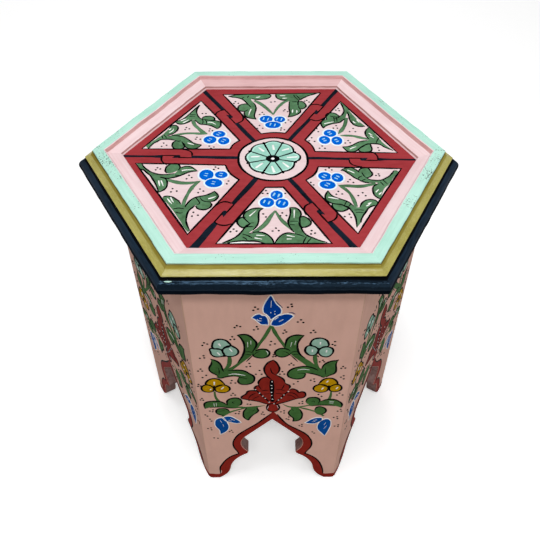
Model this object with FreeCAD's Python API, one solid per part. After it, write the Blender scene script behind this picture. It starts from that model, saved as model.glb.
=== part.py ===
import FreeCAD, Part
import math
import os

# A painted six-sided wooden stool (a kursi). Six mitred side boards stand on their own sawn feet, round
# a hollow body. A framed hexagonal top is screwed down on them. Millimetres, +Z up, the origin on the
# floor under the centre. Side 1 faces -Y, and the sides are numbered anticlockwise seen from above.

# Driving dimensions
SIDES = 6
TOTAL_HEIGHT = 450.0
BODY_SIDE_WIDTH = 174.0
SIDE_BOARD_THICKNESS = 16.0

TOP_BOARD_THICKNESS = 20.0
FRAME_HEIGHT = 9.5
NOSING_ACROSS_FLATS = 352.0
NOSING_BEAD_DIAMETER = 17.5
NOSING_STEP_BACK = 8.0

COVE_FOOT_APOTHEM = 168.4
COVE_BACK_APOTHEM = 156.5
COVE_EDGE_HEIGHT = 0.6

RIM_OUTER_APOTHEM = 160.4
RIM_INNER_APOTHEM = 149.7
RIM_LIP_HEIGHT = 2.2
RIM_EDGE_RADIUS = 0.9
SLOPE_TOP_RUN = 2.0
SLOPE_TOP_DROP = 3.0
SLOPE_RUN = 11.5
SLOPE_DROP = 3.5
SLOPE_TOE_RUN = 1.8

# The arch's sawn edge, as points (across from the side's middle, up from the floor)
ARCH_APEX = (0.0, 163.0)
ARCH_SHOULDER = (35.5, 117.0)
LOBE_SIDE = (39.3, 102.0)
CUSP_TOP = (32.6, 82.0)
CUSP_TIP = (31.0, 78.5)
CUSP_FOOT = (33.2, 73.0)
CALF_MIDDLE = (48.4, 55.5)
ANKLE = (56.0, 32.0)
TOE_MIDDLE = (60.6, 15.5)
TOE_INNER = (73.0, 0.0)
TOE_CORNER_RADIUS = 5.0

BLOCK_LEG = 24.0
BLOCK_DEPTH = 8.0
BLOCK_FOOT_HEIGHT = 72.0
CLEAT_SECTION = 18.0
CLEAT_END_GAP = 1.0

SCREW_LENGTH = 32.0
SCREW_RADIUS = 2.0
SCREW_HEAD_RADIUS = 4.0
SCREW_HEAD_HEIGHT = 2.4
SCREW_POINT_LENGTH = 4.0
SCREW_CROSS_WIDTH = 0.9
SCREW_CROSS_LENGTH = 4.4
SCREW_CROSS_DEPTH = 1.2
SCREW_SPREAD = 42.0

NAIL_LENGTH = 30.0
NAIL_RADIUS = 1.2
NAIL_HEAD_RADIUS = 2.6
NAIL_HEAD_HEIGHT = 0.9
NAIL_SPREAD = 22.0

BRAD_RADIUS = 0.7
BRAD_HEAD_RADIUS = 1.1
BRAD_HEAD_HEIGHT = 0.8
BRAD_SET_DEPTH = 0.3
RIM_BRAD_LENGTH = 22.0
RIM_BRAD_SPREAD = 52.0
NOSING_BRAD_LENGTH = 38.0
NOSING_BRAD_SPREAD = 60.0

# Derived dimensions
STEP_ANGLE = 360.0 / SIDES
HALF_ANGLE = math.radians(STEP_ANGLE / 2)
BODY_APOTHEM = BODY_SIDE_WIDTH / 2 / math.tan(HALF_ANGLE)
INNER_APOTHEM = BODY_APOTHEM - SIDE_BOARD_THICKNESS
INNER_CORNER_RADIUS = INNER_APOTHEM / math.cos(HALF_ANGLE)
INNER_SIDE_WIDTH = 2 * INNER_APOTHEM * math.tan(HALF_ANGLE)
SIDE_HEIGHT = TOTAL_HEIGHT - TOP_BOARD_THICKNESS - FRAME_HEIGHT
BOARD_TOP = SIDE_HEIGHT + TOP_BOARD_THICKNESS
NOSING_APOTHEM = NOSING_ACROSS_FLATS / 2
BEAD_RADIUS = NOSING_BEAD_DIAMETER / 2
NOSING_STEP_APOTHEM = NOSING_APOTHEM - NOSING_STEP_BACK
COVE_TOP = TOTAL_HEIGHT - RIM_LIP_HEIGHT
CLEAT_BOTTOM = SIDE_HEIGHT - CLEAT_SECTION
CLEAT_LENGTH = INNER_SIDE_WIDTH - 2 * (BLOCK_LEG + CLEAT_END_GAP)
CLEAT_MIDDLE = INNER_APOTHEM - CLEAT_SECTION / 2
REACH = 2 * NOSING_APOTHEM

UP = FreeCAD.Vector(0, 0, 1)
OUT = FreeCAD.Vector(0, -1, 0)
CENTRE = FreeCAD.Vector(0, 0, 0)


def point(across, out, up):
    """A point of side 1: across to the right along the side, out from the centre, and up."""
    return FreeCAD.Vector(across, -out, up)


def line(start, end):
    return Part.LineSegment(start, end).toShape()


def arc(start, middle, end):
    return Part.Arc(start, middle, end).toShape()


def turned(shape, steps):
    """A copy of side 1's shape on the side that is so many steps further round."""
    copy = shape.copy()
    copy.rotate(CENTRE, UP, STEP_ANGLE * steps)
    return copy


def hexagon(apothem, bottom, height):
    """A hexagonal prism with its flats square to the sides."""
    radius = apothem / math.cos(HALF_ANGLE)
    corners = []
    for k in range(SIDES + 1):
        angle = 2 * HALF_ANGLE * k
        corners.append(FreeCAD.Vector(radius * math.cos(angle), radius * math.sin(angle), bottom))
    return Part.Face(Part.makePolygon(corners)).extrude(UP * height)


def side_wedge():
    """The wedge of space that belongs to side 1, between the two mitre planes."""
    half_width = REACH * math.tan(HALF_ANGLE)
    corners = [CENTRE, point(half_width, REACH, 0), point(-half_width, REACH, 0), CENTRE]
    return Part.Face(Part.makePolygon(corners)).extrude(UP * TOTAL_HEIGHT)


def mitred(edges):
    """A strip along side 1 with this section, cut to the mitre planes at both ends."""
    section = Part.Face(Part.Wire(edges))
    strip = section.extrude(FreeCAD.Vector(REACH, 0, 0))
    strip.translate(FreeCAD.Vector(-REACH / 2, 0, 0))
    return strip.common(side_wedge())


def on_face(hand, at):
    """A point of side 1's outer face, on its right half (hand 1) or its left half (hand -1)."""
    return point(hand * at[0], BODY_APOTHEM, at[1])


def foot_outline(hand):
    """The sawn edge of one half of a side board, from the arch's apex down and round the foot."""
    upper = [ARCH_APEX, ARCH_SHOULDER, LOBE_SIDE, CUSP_TOP, CUSP_TIP, CUSP_FOOT]
    lower = [CALF_MIDDLE, ANKLE, TOE_MIDDLE, TOE_INNER]
    apex, shoulder, lobe, cusp_top, cusp_tip, cusp_foot = [on_face(hand, at) for at in upper]
    calf, ankle, toe_middle, toe = [on_face(hand, at) for at in lower]
    half_width = BODY_SIDE_WIDTH / 2
    rise = TOE_CORNER_RADIUS
    round_off = rise * (1 - math.sqrt(0.5))
    corner_foot = on_face(hand, (half_width - rise, 0))
    corner_middle = on_face(hand, (half_width - round_off, round_off))
    corner_side = on_face(hand, (half_width, rise))
    corner_top = on_face(hand, (half_width, SIDE_HEIGHT))
    return [
        line(apex, shoulder),
        arc(shoulder, lobe, cusp_top),
        arc(cusp_top, cusp_tip, cusp_foot),
        arc(cusp_foot, calf, ankle),
        arc(ankle, toe_middle, toe),
        line(toe, corner_foot),
        arc(corner_foot, corner_middle, corner_side),
        line(corner_side, corner_top),
    ]


def side_board():
    """One side board: mitred long edges, a scalloped ogee arch and two half feet."""
    top = line(
        point(-BODY_SIDE_WIDTH / 2, BODY_APOTHEM, SIDE_HEIGHT),
        point(BODY_SIDE_WIDTH / 2, BODY_APOTHEM, SIDE_HEIGHT),
    )
    edges = foot_outline(1) + foot_outline(-1) + [top]
    face = Part.Face(Part.Wire(Part.__sortEdges__(edges)))
    board = face.extrude(OUT * -SIDE_BOARD_THICKNESS)
    return board.common(side_wedge())


def corner_block():
    """The glue block that stiffens the corner between side 1 and side 2, on the inside."""
    corner = FreeCAD.Vector(0, -INNER_CORNER_RADIUS, 0)
    along = math.pi / 2 - HALF_ANGLE
    right = corner + FreeCAD.Vector(math.sin(along), math.cos(along), 0) * BLOCK_LEG
    right_in = right + FreeCAD.Vector(-math.cos(along), math.sin(along), 0) * BLOCK_DEPTH
    left = FreeCAD.Vector(-right.x, right.y, 0)
    left_in = FreeCAD.Vector(-right_in.x, right_in.y, 0)
    face = Part.Face(Part.makePolygon([corner, right, right_in, left_in, left, corner]))
    block = face.extrude(UP * (SIDE_HEIGHT - BLOCK_FOOT_HEIGHT))
    block.translate(UP * BLOCK_FOOT_HEIGHT)
    block.rotate(CENTRE, UP, STEP_ANGLE / 2)
    return block


def cleat():
    """The batten inside the top of side 1 that the top board is screwed to."""
    corner = point(-CLEAT_LENGTH / 2, INNER_APOTHEM, CLEAT_BOTTOM)
    return Part.makeBox(CLEAT_LENGTH, CLEAT_SECTION, CLEAT_SECTION, corner)


def nosing_strip():
    """The lipping round the top board: a half-round bead under a small square step."""
    bead_out = NOSING_APOTHEM - BEAD_RADIUS
    bead_middle = SIDE_HEIGHT + BEAD_RADIUS
    step_out = NOSING_STEP_APOTHEM - bead_out
    step_foot = bead_middle + math.sqrt(BEAD_RADIUS**2 - step_out**2)
    return mitred([
        line(point(0, BODY_APOTHEM, SIDE_HEIGHT), point(0, bead_out, SIDE_HEIGHT)),
        arc(
            point(0, bead_out, SIDE_HEIGHT),
            point(0, NOSING_APOTHEM, bead_middle),
            point(0, NOSING_STEP_APOTHEM, step_foot),
        ),
        line(point(0, NOSING_STEP_APOTHEM, step_foot), point(0, NOSING_STEP_APOTHEM, BOARD_TOP)),
        line(point(0, NOSING_STEP_APOTHEM, BOARD_TOP), point(0, BODY_APOTHEM, BOARD_TOP)),
        line(point(0, BODY_APOTHEM, BOARD_TOP), point(0, BODY_APOTHEM, SIDE_HEIGHT)),
    ])


def cove_strip():
    """The outer moulding of the frame, hollowed down and out from under the rim's lip."""
    foot = BOARD_TOP + COVE_EDGE_HEIGHT
    run = COVE_FOOT_APOTHEM - RIM_OUTER_APOTHEM
    drop = COVE_TOP - foot
    hollow = point(
        0, COVE_FOOT_APOTHEM - run * math.cos(math.pi / 4), COVE_TOP - drop * math.sin(math.pi / 4)
    )
    return mitred([
        line(point(0, COVE_BACK_APOTHEM, BOARD_TOP), point(0, COVE_FOOT_APOTHEM, BOARD_TOP)),
        line(point(0, COVE_FOOT_APOTHEM, BOARD_TOP), point(0, COVE_FOOT_APOTHEM, foot)),
        arc(point(0, COVE_FOOT_APOTHEM, foot), hollow, point(0, RIM_OUTER_APOTHEM, COVE_TOP)),
        line(point(0, RIM_OUTER_APOTHEM, COVE_TOP), point(0, COVE_BACK_APOTHEM, COVE_TOP)),
        line(point(0, COVE_BACK_APOTHEM, COVE_TOP), point(0, COVE_BACK_APOTHEM, BOARD_TOP)),
    ])


def rim_strip():
    """The inner moulding of the frame: a flat rim that laps the cove, and a slope down to the top board."""
    radius = RIM_EDGE_RADIUS
    round_off = radius * (1 - math.sqrt(0.5))
    slope_top = point(0, RIM_INNER_APOTHEM - SLOPE_TOP_RUN, TOTAL_HEIGHT - SLOPE_TOP_DROP)
    slope_toe = point(
        0,
        RIM_INNER_APOTHEM - SLOPE_TOP_RUN - SLOPE_RUN,
        TOTAL_HEIGHT - SLOPE_TOP_DROP - SLOPE_DROP,
    )
    toe = point(0, RIM_INNER_APOTHEM - SLOPE_TOP_RUN - SLOPE_RUN - SLOPE_TOE_RUN, BOARD_TOP)
    edge_top = point(0, RIM_OUTER_APOTHEM - radius, TOTAL_HEIGHT)
    edge_side = point(0, RIM_OUTER_APOTHEM, TOTAL_HEIGHT - radius)
    inner_top = point(0, RIM_INNER_APOTHEM, TOTAL_HEIGHT)
    lip_foot = point(0, RIM_OUTER_APOTHEM, COVE_TOP)
    lip_back = point(0, COVE_BACK_APOTHEM, COVE_TOP)
    back_foot = point(0, COVE_BACK_APOTHEM, BOARD_TOP)
    return mitred([
        line(inner_top, edge_top),
        arc(
            edge_top,
            point(0, RIM_OUTER_APOTHEM - round_off, TOTAL_HEIGHT - round_off),
            edge_side,
        ),
        line(edge_side, lip_foot),
        line(lip_foot, lip_back),
        line(lip_back, back_foot),
        line(back_foot, toe),
        line(toe, slope_toe),
        line(slope_toe, slope_top),
        line(slope_top, inner_top),
    ])


def screw(head_place, direction):
    """A countersunk wood screw with a crosshead, its head's face at head_place."""
    head = Part.makeCone(SCREW_HEAD_RADIUS, SCREW_RADIUS, SCREW_HEAD_HEIGHT)
    shank_length = SCREW_LENGTH - SCREW_HEAD_HEIGHT - SCREW_POINT_LENGTH
    shank = Part.makeCylinder(SCREW_RADIUS, shank_length)
    shank.translate(UP * SCREW_HEAD_HEIGHT)
    tip = Part.makeCone(SCREW_RADIUS, SCREW_CROSS_WIDTH / 4, SCREW_POINT_LENGTH)
    tip.translate(UP * (SCREW_HEAD_HEIGHT + shank_length))
    return placed(head.fuse([shank, tip]).removeSplitter(), head_place, direction)


def crosshead(head_place, direction):
    """The cross-shaped recess in a screw's head."""
    corner = FreeCAD.Vector(-SCREW_CROSS_WIDTH / 2, -SCREW_CROSS_LENGTH / 2, 0)
    bar = Part.makeBox(SCREW_CROSS_WIDTH, SCREW_CROSS_LENGTH, SCREW_CROSS_DEPTH, corner)
    other_bar = bar.copy()
    other_bar.rotate(CENTRE, UP, 90)
    return placed(bar.fuse(other_bar).removeSplitter(), head_place, direction)


def nail(radius, head_radius, head_height, length, head_place, direction):
    """A plain nail with a flat round head, the head's outer face at head_place."""
    head = Part.makeCylinder(head_radius, head_height)
    shank = Part.makeCylinder(radius, length - head_height)
    shank.translate(UP * head_height)
    return placed(head.fuse(shank).removeSplitter(), head_place, direction)


def placed(shape, place, direction):
    """The shape moved from the origin, where it points up, to a place and a direction."""
    turn = FreeCAD.Rotation(UP, direction)
    shape.Placement = FreeCAD.Placement(place, turn)
    return shape


def pairs(spread, out, up):
    """Two places on side 1, as far left of its middle as right."""
    return [point(-spread, out, up), point(spread, out, up)]


def cut_by(shape, tools):
    return shape.cut(Part.makeCompound(tools))


def export(name, shape):
    """One STEP file per node; a group of like pieces is a compound of separate solids."""
    whole = shape.isValid() and all(solid.isClosed() for solid in shape.Solids)
    print(f"{name}: {len(shape.Solids)} solids, valid and closed: {whole}, {shape.Volume / 1000:.1f} cm3")
    shape.exportStep(os.path.join("parts", name + ".step"))


os.makedirs("parts", exist_ok=True)

# The fasteners of side 1, and the holes that they fill
cleat_screw_places = pairs(SCREW_SPREAD, CLEAT_MIDDLE, CLEAT_BOTTOM)
screws = [screw(place, UP) for place in cleat_screw_places]
crosses = [crosshead(place, UP) for place in cleat_screw_places]

nail_heads = pairs(NAIL_SPREAD, INNER_APOTHEM - CLEAT_SECTION, SIDE_HEIGHT - CLEAT_SECTION / 2)
proud = OUT * NAIL_HEAD_HEIGHT
nails = [
    nail(NAIL_RADIUS, NAIL_HEAD_RADIUS, NAIL_HEAD_HEIGHT, NAIL_LENGTH, place - proud, OUT)
    for place in nail_heads
]

rim_middle = (COVE_BACK_APOTHEM + RIM_INNER_APOTHEM) / 2
rim_brad_heads = pairs(RIM_BRAD_SPREAD, rim_middle, TOTAL_HEIGHT - BRAD_SET_DEPTH)
rim_brads = [
    nail(BRAD_RADIUS, BRAD_HEAD_RADIUS, BRAD_HEAD_HEIGHT, RIM_BRAD_LENGTH, place, UP * -1)
    for place in rim_brad_heads
]
rim_dimples = [
    Part.makeCylinder(BRAD_HEAD_RADIUS, BRAD_SET_DEPTH, place) for place in rim_brad_heads
]

nosing_brad_heads = pairs(
    NOSING_BRAD_SPREAD, NOSING_APOTHEM - 2 * BRAD_SET_DEPTH, SIDE_HEIGHT + BEAD_RADIUS
)
nosing_brads = [
    nail(BRAD_RADIUS, BRAD_HEAD_RADIUS, BRAD_HEAD_HEIGHT, NOSING_BRAD_LENGTH, place, OUT * -1)
    for place in nosing_brad_heads
]
nosing_dimples = [
    Part.makeCylinder(BRAD_HEAD_RADIUS, 4 * BRAD_SET_DEPTH, place, OUT) for place in nosing_brad_heads
]

fasteners = {
    "cleat_screws": [cut_by(one, [cross]) for one, cross in zip(screws, crosses)],
    "cleat_nails": nails,
    "rim_brads": rim_brads,
    "nosing_brads": nosing_brads,
}

# The wooden pieces of side 1, bored for their fasteners
side_pieces = {
    "side_board": cut_by(side_board(), nails),
    "corner_block": corner_block(),
    "cleat": cut_by(cleat(), screws + nails),
    "nosing_strip": cut_by(nosing_strip(), rim_brads + nosing_brads + nosing_dimples),
    "cove_strip": cove_strip(),
    "rim_strip": cut_by(rim_strip(), rim_brads + rim_dimples),
}

# Every piece of side 1 is repeated round the six sides
for name, piece in side_pieces.items():
    for k in range(SIDES):
        export(f"{name}_{k + 1}", turned(piece, k))

for name, pieces in fasteners.items():
    group = [turned(piece, k) for k in range(SIDES) for piece in pieces]
    export(name, Part.makeCompound(group))

# One hexagonal board closes the body, and its upper face is the painted tray
board_tools = [turned(tool, k) for k in range(SIDES) for tool in screws + nosing_brads]
export("top_board", cut_by(hexagon(BODY_APOTHEM, SIDE_HEIGHT, TOP_BOARD_THICKNESS), board_tools))
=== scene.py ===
import math

import bmesh
import bpy
from mathutils import Matrix, Vector, noise


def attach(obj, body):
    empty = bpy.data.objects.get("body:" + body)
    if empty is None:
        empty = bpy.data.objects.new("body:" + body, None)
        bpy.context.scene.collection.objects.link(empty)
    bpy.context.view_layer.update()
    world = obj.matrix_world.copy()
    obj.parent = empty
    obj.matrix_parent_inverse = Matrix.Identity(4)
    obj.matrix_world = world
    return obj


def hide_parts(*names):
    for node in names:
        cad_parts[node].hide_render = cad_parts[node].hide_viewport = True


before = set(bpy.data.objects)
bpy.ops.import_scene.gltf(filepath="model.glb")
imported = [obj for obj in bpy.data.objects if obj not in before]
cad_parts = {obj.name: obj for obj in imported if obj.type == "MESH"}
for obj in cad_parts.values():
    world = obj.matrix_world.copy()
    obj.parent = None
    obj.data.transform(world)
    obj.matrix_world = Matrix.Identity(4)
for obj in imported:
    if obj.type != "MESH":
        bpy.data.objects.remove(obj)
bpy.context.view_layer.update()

MM = 0.001
SIDES = range(1, 7)

# ---------------------------------------------------------------------------------------------------------
# Side boards. Six boards of pale softwood, 16 mm thick, mitred on their long edges, glued and nailed round
# inner blocks. Each is fret-sawn below into a pointed arch between two half feet, sanded, and brushed with
# pink oil paint on its outer face. A red band is painted along the sawn arch and the foot.
BODY_APOTHEM = 150.69 * MM
BOARD_HALF = 87 * MM
ARRIS_RADIUS = 4 * MM
ARRIS_FACETS = (8, 16, 24, 30)
SAWN_EDGE_SOFTENING = 0.8 * MM
FOOT_PAINT_TOP = 13 * MM
ARCH_TOP = 165 * MM
MITRE_MARGIN = 0.5 * MM
# how squarely a face looks forward or back: flat, painted as the front, a facet of the eased corner, the
# softened edge of the sawing, and square to the front
FLAT = 0.999
EASED = 0.85
TOWARDS_FRONT = 0.8
SAWN = 0.15
SQUARE = 0.05
# oil paint: its thin patches, its specks and the patches they gather in, and how far wear reaches
THIN_PATCH = 45 * MM
SPECK = 1.6 * MM
SPECK_PATCH = 28 * MM
GATHERING = 0.6
WORN_THROUGH = 20 * MM
WORN_REACH = 90 * MM
# how far the paint's pattern is moved on from side to side, so that no two sides are alike
PATTERN_STEP = 0.7


def alone(*pieces):
    """Selects these pieces and nothing else."""
    bpy.ops.object.select_all(action="DESELECT")
    for piece in pieces:
        piece.select_set(True)
    bpy.context.view_layer.objects.active = pieces[0]


def select_where(piece, kind, wanted):
    """In edit mode, selects the faces or the edges that wanted says."""
    bpy.ops.mesh.select_mode(type=kind)
    bpy.ops.mesh.select_all(action="DESELECT")
    shape = bmesh.from_edit_mesh(piece.data)
    for part in shape.faces if kind == "FACE" else shape.edges:
        if wanted(part):
            part.select_set(True)
    bmesh.update_edit_mesh(piece.data)


def even_shading(piece, angle=35):
    """Smooth over soft edges, while the large faces stay flat."""
    alone(piece)
    bpy.ops.object.shade_smooth_by_angle(angle=math.radians(angle))
    weighted = piece.modifiers.new("flat faces", "WEIGHTED_NORMAL")
    weighted.keep_sharp = True
    bpy.ops.object.modifier_apply(modifier=weighted.name)


def turned_to(piece, side, name):
    """A copy of side 1's piece with a mesh of its own, turned round the stool to another side."""
    copy = bpy.data.objects.new(name, piece.data.copy())
    bpy.context.collection.objects.link(copy)
    copy.data.transform(Matrix.Rotation(math.radians(60 * (side - 1)), 4, "Z"))
    laid = copy.data.attributes.get("laid")
    if laid:
        for place in laid.data:
            place.vector[0] += PATTERN_STEP * side
    return copy


def paint_colour(code):
    """The linear colour of an sRGB hex code."""
    parts = [int(code[i:i + 2], 16) / 255 for i in (1, 3, 5)]
    return [p / 12.92 if p <= 0.04045 else ((p + 0.055) / 1.055) ** 2.4 for p in parts] + [1]


def add_node(material, kind, inputs=(), **settings):
    """Adds a node with its settings. An input is a value, or a socket that it is linked to."""
    node = material.node_tree.nodes.new(kind)
    for name, value in settings.items():
        setattr(node, name, value)
    for name, value in dict(inputs).items():
        if isinstance(value, bpy.types.NodeSocket):
            material.node_tree.links.new(value, node.inputs[name])
        else:
            node.inputs[name].default_value = value
    return node


def new_material(name):
    """An empty node material with its Principled shader."""
    material = bpy.data.materials.new(name)
    material.use_nodes = True
    return material, material.node_tree.nodes["Principled BSDF"]


def oil_paint(name, colour, deeper, roughness=0.42, marks=(2.5, 2.5, 60), relief=0.12, laid=False,
              chips=None, chip_share=0.62, worn_at=None, sheen=0.001, bristles=4):
    """Alkyd oil paint, brushed on wood: a satin film with fine brush marks, thinner and deeper in places.

    marks is one brush mark's size along x, y and z in mm, and bristles how fine the marks within it are.
    chips is what shows where paint has come off, most of all near the place in mm, and its mirror
    images, that worn_at gives.
    """
    material, shader = new_material(name)
    shader.inputs["Specular IOR Level"].default_value = sheen
    link = material.node_tree.links.new
    if laid:
        place = add_node(material, "ShaderNodeAttribute", attribute_name="laid").outputs["Vector"]
    else:
        place = add_node(material, "ShaderNodeTexCoord").outputs["Object"]
    mapped = add_node(material, "ShaderNodeMapping", {"Vector": place,
                                                      "Scale": [1 / (m * MM) for m in marks]})
    brush = add_node(material, "ShaderNodeTexNoise", {"Vector": mapped.outputs[0], "Scale": 1,
                                                      "Detail": bristles, "Roughness": 0.6})
    cloud = add_node(material, "ShaderNodeTexNoise", {"Vector": place, "Scale": 1 / THIN_PATCH, "Detail": 5,
                                                      "Roughness": 0.6})
    both = add_node(material, "ShaderNodeMath", {0: brush.outputs[0], 1: cloud.outputs[0]},
                    operation="MULTIPLY")
    amount = add_node(material, "ShaderNodeMapRange", {"Value": both.outputs[0], "From Min": 0.16,
                                                       "From Max": 0.36})
    mixed = add_node(material, "ShaderNodeMix", {"Factor": amount.outputs[0]}, data_type="RGBA")
    mixed.inputs[6].default_value = paint_colour(colour)
    mixed.inputs[7].default_value = paint_colour(deeper)
    top = mixed.outputs[2]
    if chips:
        flecks = add_node(material, "ShaderNodeTexNoise", {"Vector": place, "Scale": 1 / SPECK, "Detail": 3,
                                                           "Roughness": 0.7})
        groups = add_node(material, "ShaderNodeTexNoise", {"Vector": place, "Scale": 1 / SPECK_PATCH,
                                                           "Detail": 2})
        summed = add_node(material, "ShaderNodeMath", {0: groups.outputs[0], 1: GATHERING,
                                                       2: flecks.outputs[0]}, operation="MULTIPLY_ADD")
        if worn_at:
            whole = add_node(material, "ShaderNodeTexCoord").outputs["Object"]
            folded = add_node(material, "ShaderNodeVectorMath", {0: whole}, operation="ABSOLUTE").outputs[0]
            away = add_node(material, "ShaderNodeVectorMath", {0: folded, 1: [p * MM for p in worn_at]},
                            operation="DISTANCE")
            worse = add_node(material, "ShaderNodeMapRange",
                             {"Value": away.outputs["Value"], "From Min": WORN_THROUGH,
                              "From Max": WORN_REACH, "To Min": 0.12, "To Max": 0})
            summed = add_node(material, "ShaderNodeMath", {0: summed.outputs[0], 1: worse.outputs[0]},
                              operation="ADD")
        edge = (1 + GATHERING) * chip_share
        shown = add_node(material, "ShaderNodeMapRange", {"Value": summed.outputs[0], "From Min": edge,
                                                          "From Max": edge + 0.04})
        worn = add_node(material, "ShaderNodeMix", {"Factor": shown.outputs[0]}, data_type="RGBA")
        link(top, worn.inputs[6])
        worn.inputs[7].default_value = paint_colour(chips)
        top = worn.outputs[2]
    link(top, shader.inputs["Base Color"])
    rough = add_node(material, "ShaderNodeMapRange", {"Value": brush.outputs[0], "To Min": roughness - 0.06,
                                                      "To Max": roughness + 0.08})
    link(rough.outputs[0], shader.inputs["Roughness"])
    bump = add_node(material, "ShaderNodeBump", {"Height": brush.outputs[0], "Strength": 0.5,
                                                 "Distance": relief * MM})
    link(bump.outputs[0], shader.inputs["Normal"])
    return material


def softwood(name, pale, late, grain="up", along=0):
    """Sawn and planed pine: pale early wood, darker late-wood lines 3 mm apart, long along the grain."""
    material, shader = new_material(name)
    link = material.node_tree.links.new
    place = add_node(material, "ShaderNodeTexCoord").outputs["Object"]
    stretch = (0.33, 0.33, 0.006) if grain == "up" else (0.006, 0.33, 0.33)
    turned = add_node(material, "ShaderNodeMapping", {"Vector": place,
                                                      "Rotation": (0, 0, -math.radians(along))})
    mapped = add_node(material, "ShaderNodeMapping", {"Vector": turned.outputs[0],
                                                      "Scale": [s / MM for s in stretch]})
    rings = add_node(material, "ShaderNodeTexNoise", {"Vector": mapped.outputs[0], "Scale": 1, "Detail": 3,
                                                      "Distortion": 0.6})
    lines = add_node(material, "ShaderNodeMapRange", {"Value": rings.outputs[0], "From Min": 0.42,
                                                      "From Max": 0.62})
    mixed = add_node(material, "ShaderNodeMix", {"Factor": lines.outputs[0]}, data_type="RGBA")
    mixed.inputs[6].default_value = paint_colour(pale)
    mixed.inputs[7].default_value = paint_colour(late)
    link(mixed.outputs[2], shader.inputs["Base Color"])
    shader.inputs["Roughness"].default_value = 0.72
    bump = add_node(material, "ShaderNodeBump", {"Height": rings.outputs[0], "Strength": 0.4,
                                                 "Distance": 0.2 * MM})
    link(bump.outputs[0], shader.inputs["Normal"])
    return material


body_pink = oil_paint("pink oil paint on boards", "#E6B9A9", "#DFB2A2", marks=(9, 9, 40))
body_red = oil_paint("red oil paint on boards", "#962C23", "#85261F", roughness=0.36, marks=(4, 4, 12))
edge_wash = oil_paint("thin mauve wash on sawn edges", "#A68984", "#815F5B", roughness=0.6, marks=(4, 4, 6),
                      relief=0.3)
bare_board = softwood("bare pine, grain upright", "#C9A77C", "#AD855A")

board = bpy.data.objects.new("painted_board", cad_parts["side_board_1"].data.copy())
bpy.context.collection.objects.link(board)
board.data.materials.clear()
alone(board)
bpy.ops.object.mode_set(mode="EDIT")
bpy.ops.mesh.select_all(action="SELECT")
bpy.ops.mesh.remove_doubles(threshold=0.01 * MM)
bpy.ops.mesh.dissolve_limited(angle_limit=math.radians(1))
for hand in (-1, 1):
    middle = Vector((hand * (BOARD_HALF - ARRIS_RADIUS * math.tan(math.radians(30))),
                     ARRIS_RADIUS - BODY_APOTHEM, 0))
    for turn in ARRIS_FACETS:
        out = Vector((hand * math.sin(math.radians(turn)), -math.cos(math.radians(turn)), 0))
        bpy.ops.mesh.select_all(action="SELECT")
        bpy.ops.mesh.bisect(plane_co=middle + ARRIS_RADIUS * out, plane_no=out, use_fill=True,
                            clear_outer=True)
bpy.ops.mesh.select_all(action="SELECT")
bpy.ops.mesh.remove_doubles(threshold=0.12 * MM)
select_where(board, "FACE", lambda f: -FLAT < f.normal.y < -TOWARDS_FRONT)
bpy.ops.mesh.bisect(plane_co=(0, 0, FOOT_PAINT_TOP), plane_no=(0, 0, 1))
select_where(board, "EDGE", lambda e: len(e.link_faces) == 2
             and max(abs(f.normal.y) for f in e.link_faces) > FLAT
             and min(abs(f.normal.y) for f in e.link_faces) < SQUARE
             and max(v.co.z for v in e.verts) < ARCH_TOP)
bpy.ops.mesh.bevel(offset=SAWN_EDGE_SOFTENING, segments=2, affect="EDGES")
bpy.ops.object.mode_set(mode="OBJECT")
for material in (body_pink, body_red, edge_wash, bare_board):
    board.data.materials.append(material)
for face in board.data.polygons:
    lean = face.normal.y
    if lean < -EASED:
        on_foot = abs(lean) < FLAT and face.center.z < FOOT_PAINT_TOP
        face.material_index = 1 if on_foot else 0
    elif lean < -SAWN and face.center.z < ARCH_TOP:
        face.material_index = 1
    elif abs(lean) < SAWN and abs(face.center.x) < BOARD_HALF - MITRE_MARGIN and face.center.z < ARCH_TOP:
        face.material_index = 2
    else:
        face.material_index = 3
front = max(board.data.polygons, key=lambda f: f.area * (f.normal.y < -FLAT))
arch_line = [(board.data.vertices[i].co.x / MM, board.data.vertices[i].co.z / MM) for i in front.vertices]
alone(board)
bpy.ops.object.mode_set(mode="EDIT")
select_where(board, "FACE", lambda f: len(f.verts) > 4)
bpy.ops.mesh.quads_convert_to_tris()
bpy.ops.object.mode_set(mode="OBJECT")
even_shading(board)
for side in SIDES:
    piece = turned_to(board, side, f"painted_board_{side}")
    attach(piece, "root")
    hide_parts(f"side_board_{side}")
bpy.data.objects.remove(board)

# ---------------------------------------------------------------------------------------------------------
# Corner blocks and cleats. Lengths of pine, planed and left bare: six glued up the inner corners, and six
# inside the top of the boards, which the top is screwed to. They are the CAD solids, with the grain of each.
for side in SIDES:
    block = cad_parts[f"corner_block_{side}"]
    block.data.materials.clear()
    block.data.materials.append(bare_board)
for turn in (0, 60, 120):
    bare_cleat = softwood(f"bare pine, grain along {turn}", "#CDAC82", "#B08A60", grain="level", along=turn)
    for side in (turn // 60 + 1, turn // 60 + 4):
        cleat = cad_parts[f"cleat_{side}"]
        cleat.data.materials.clear()
        cleat.data.materials.append(bare_cleat)

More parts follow.
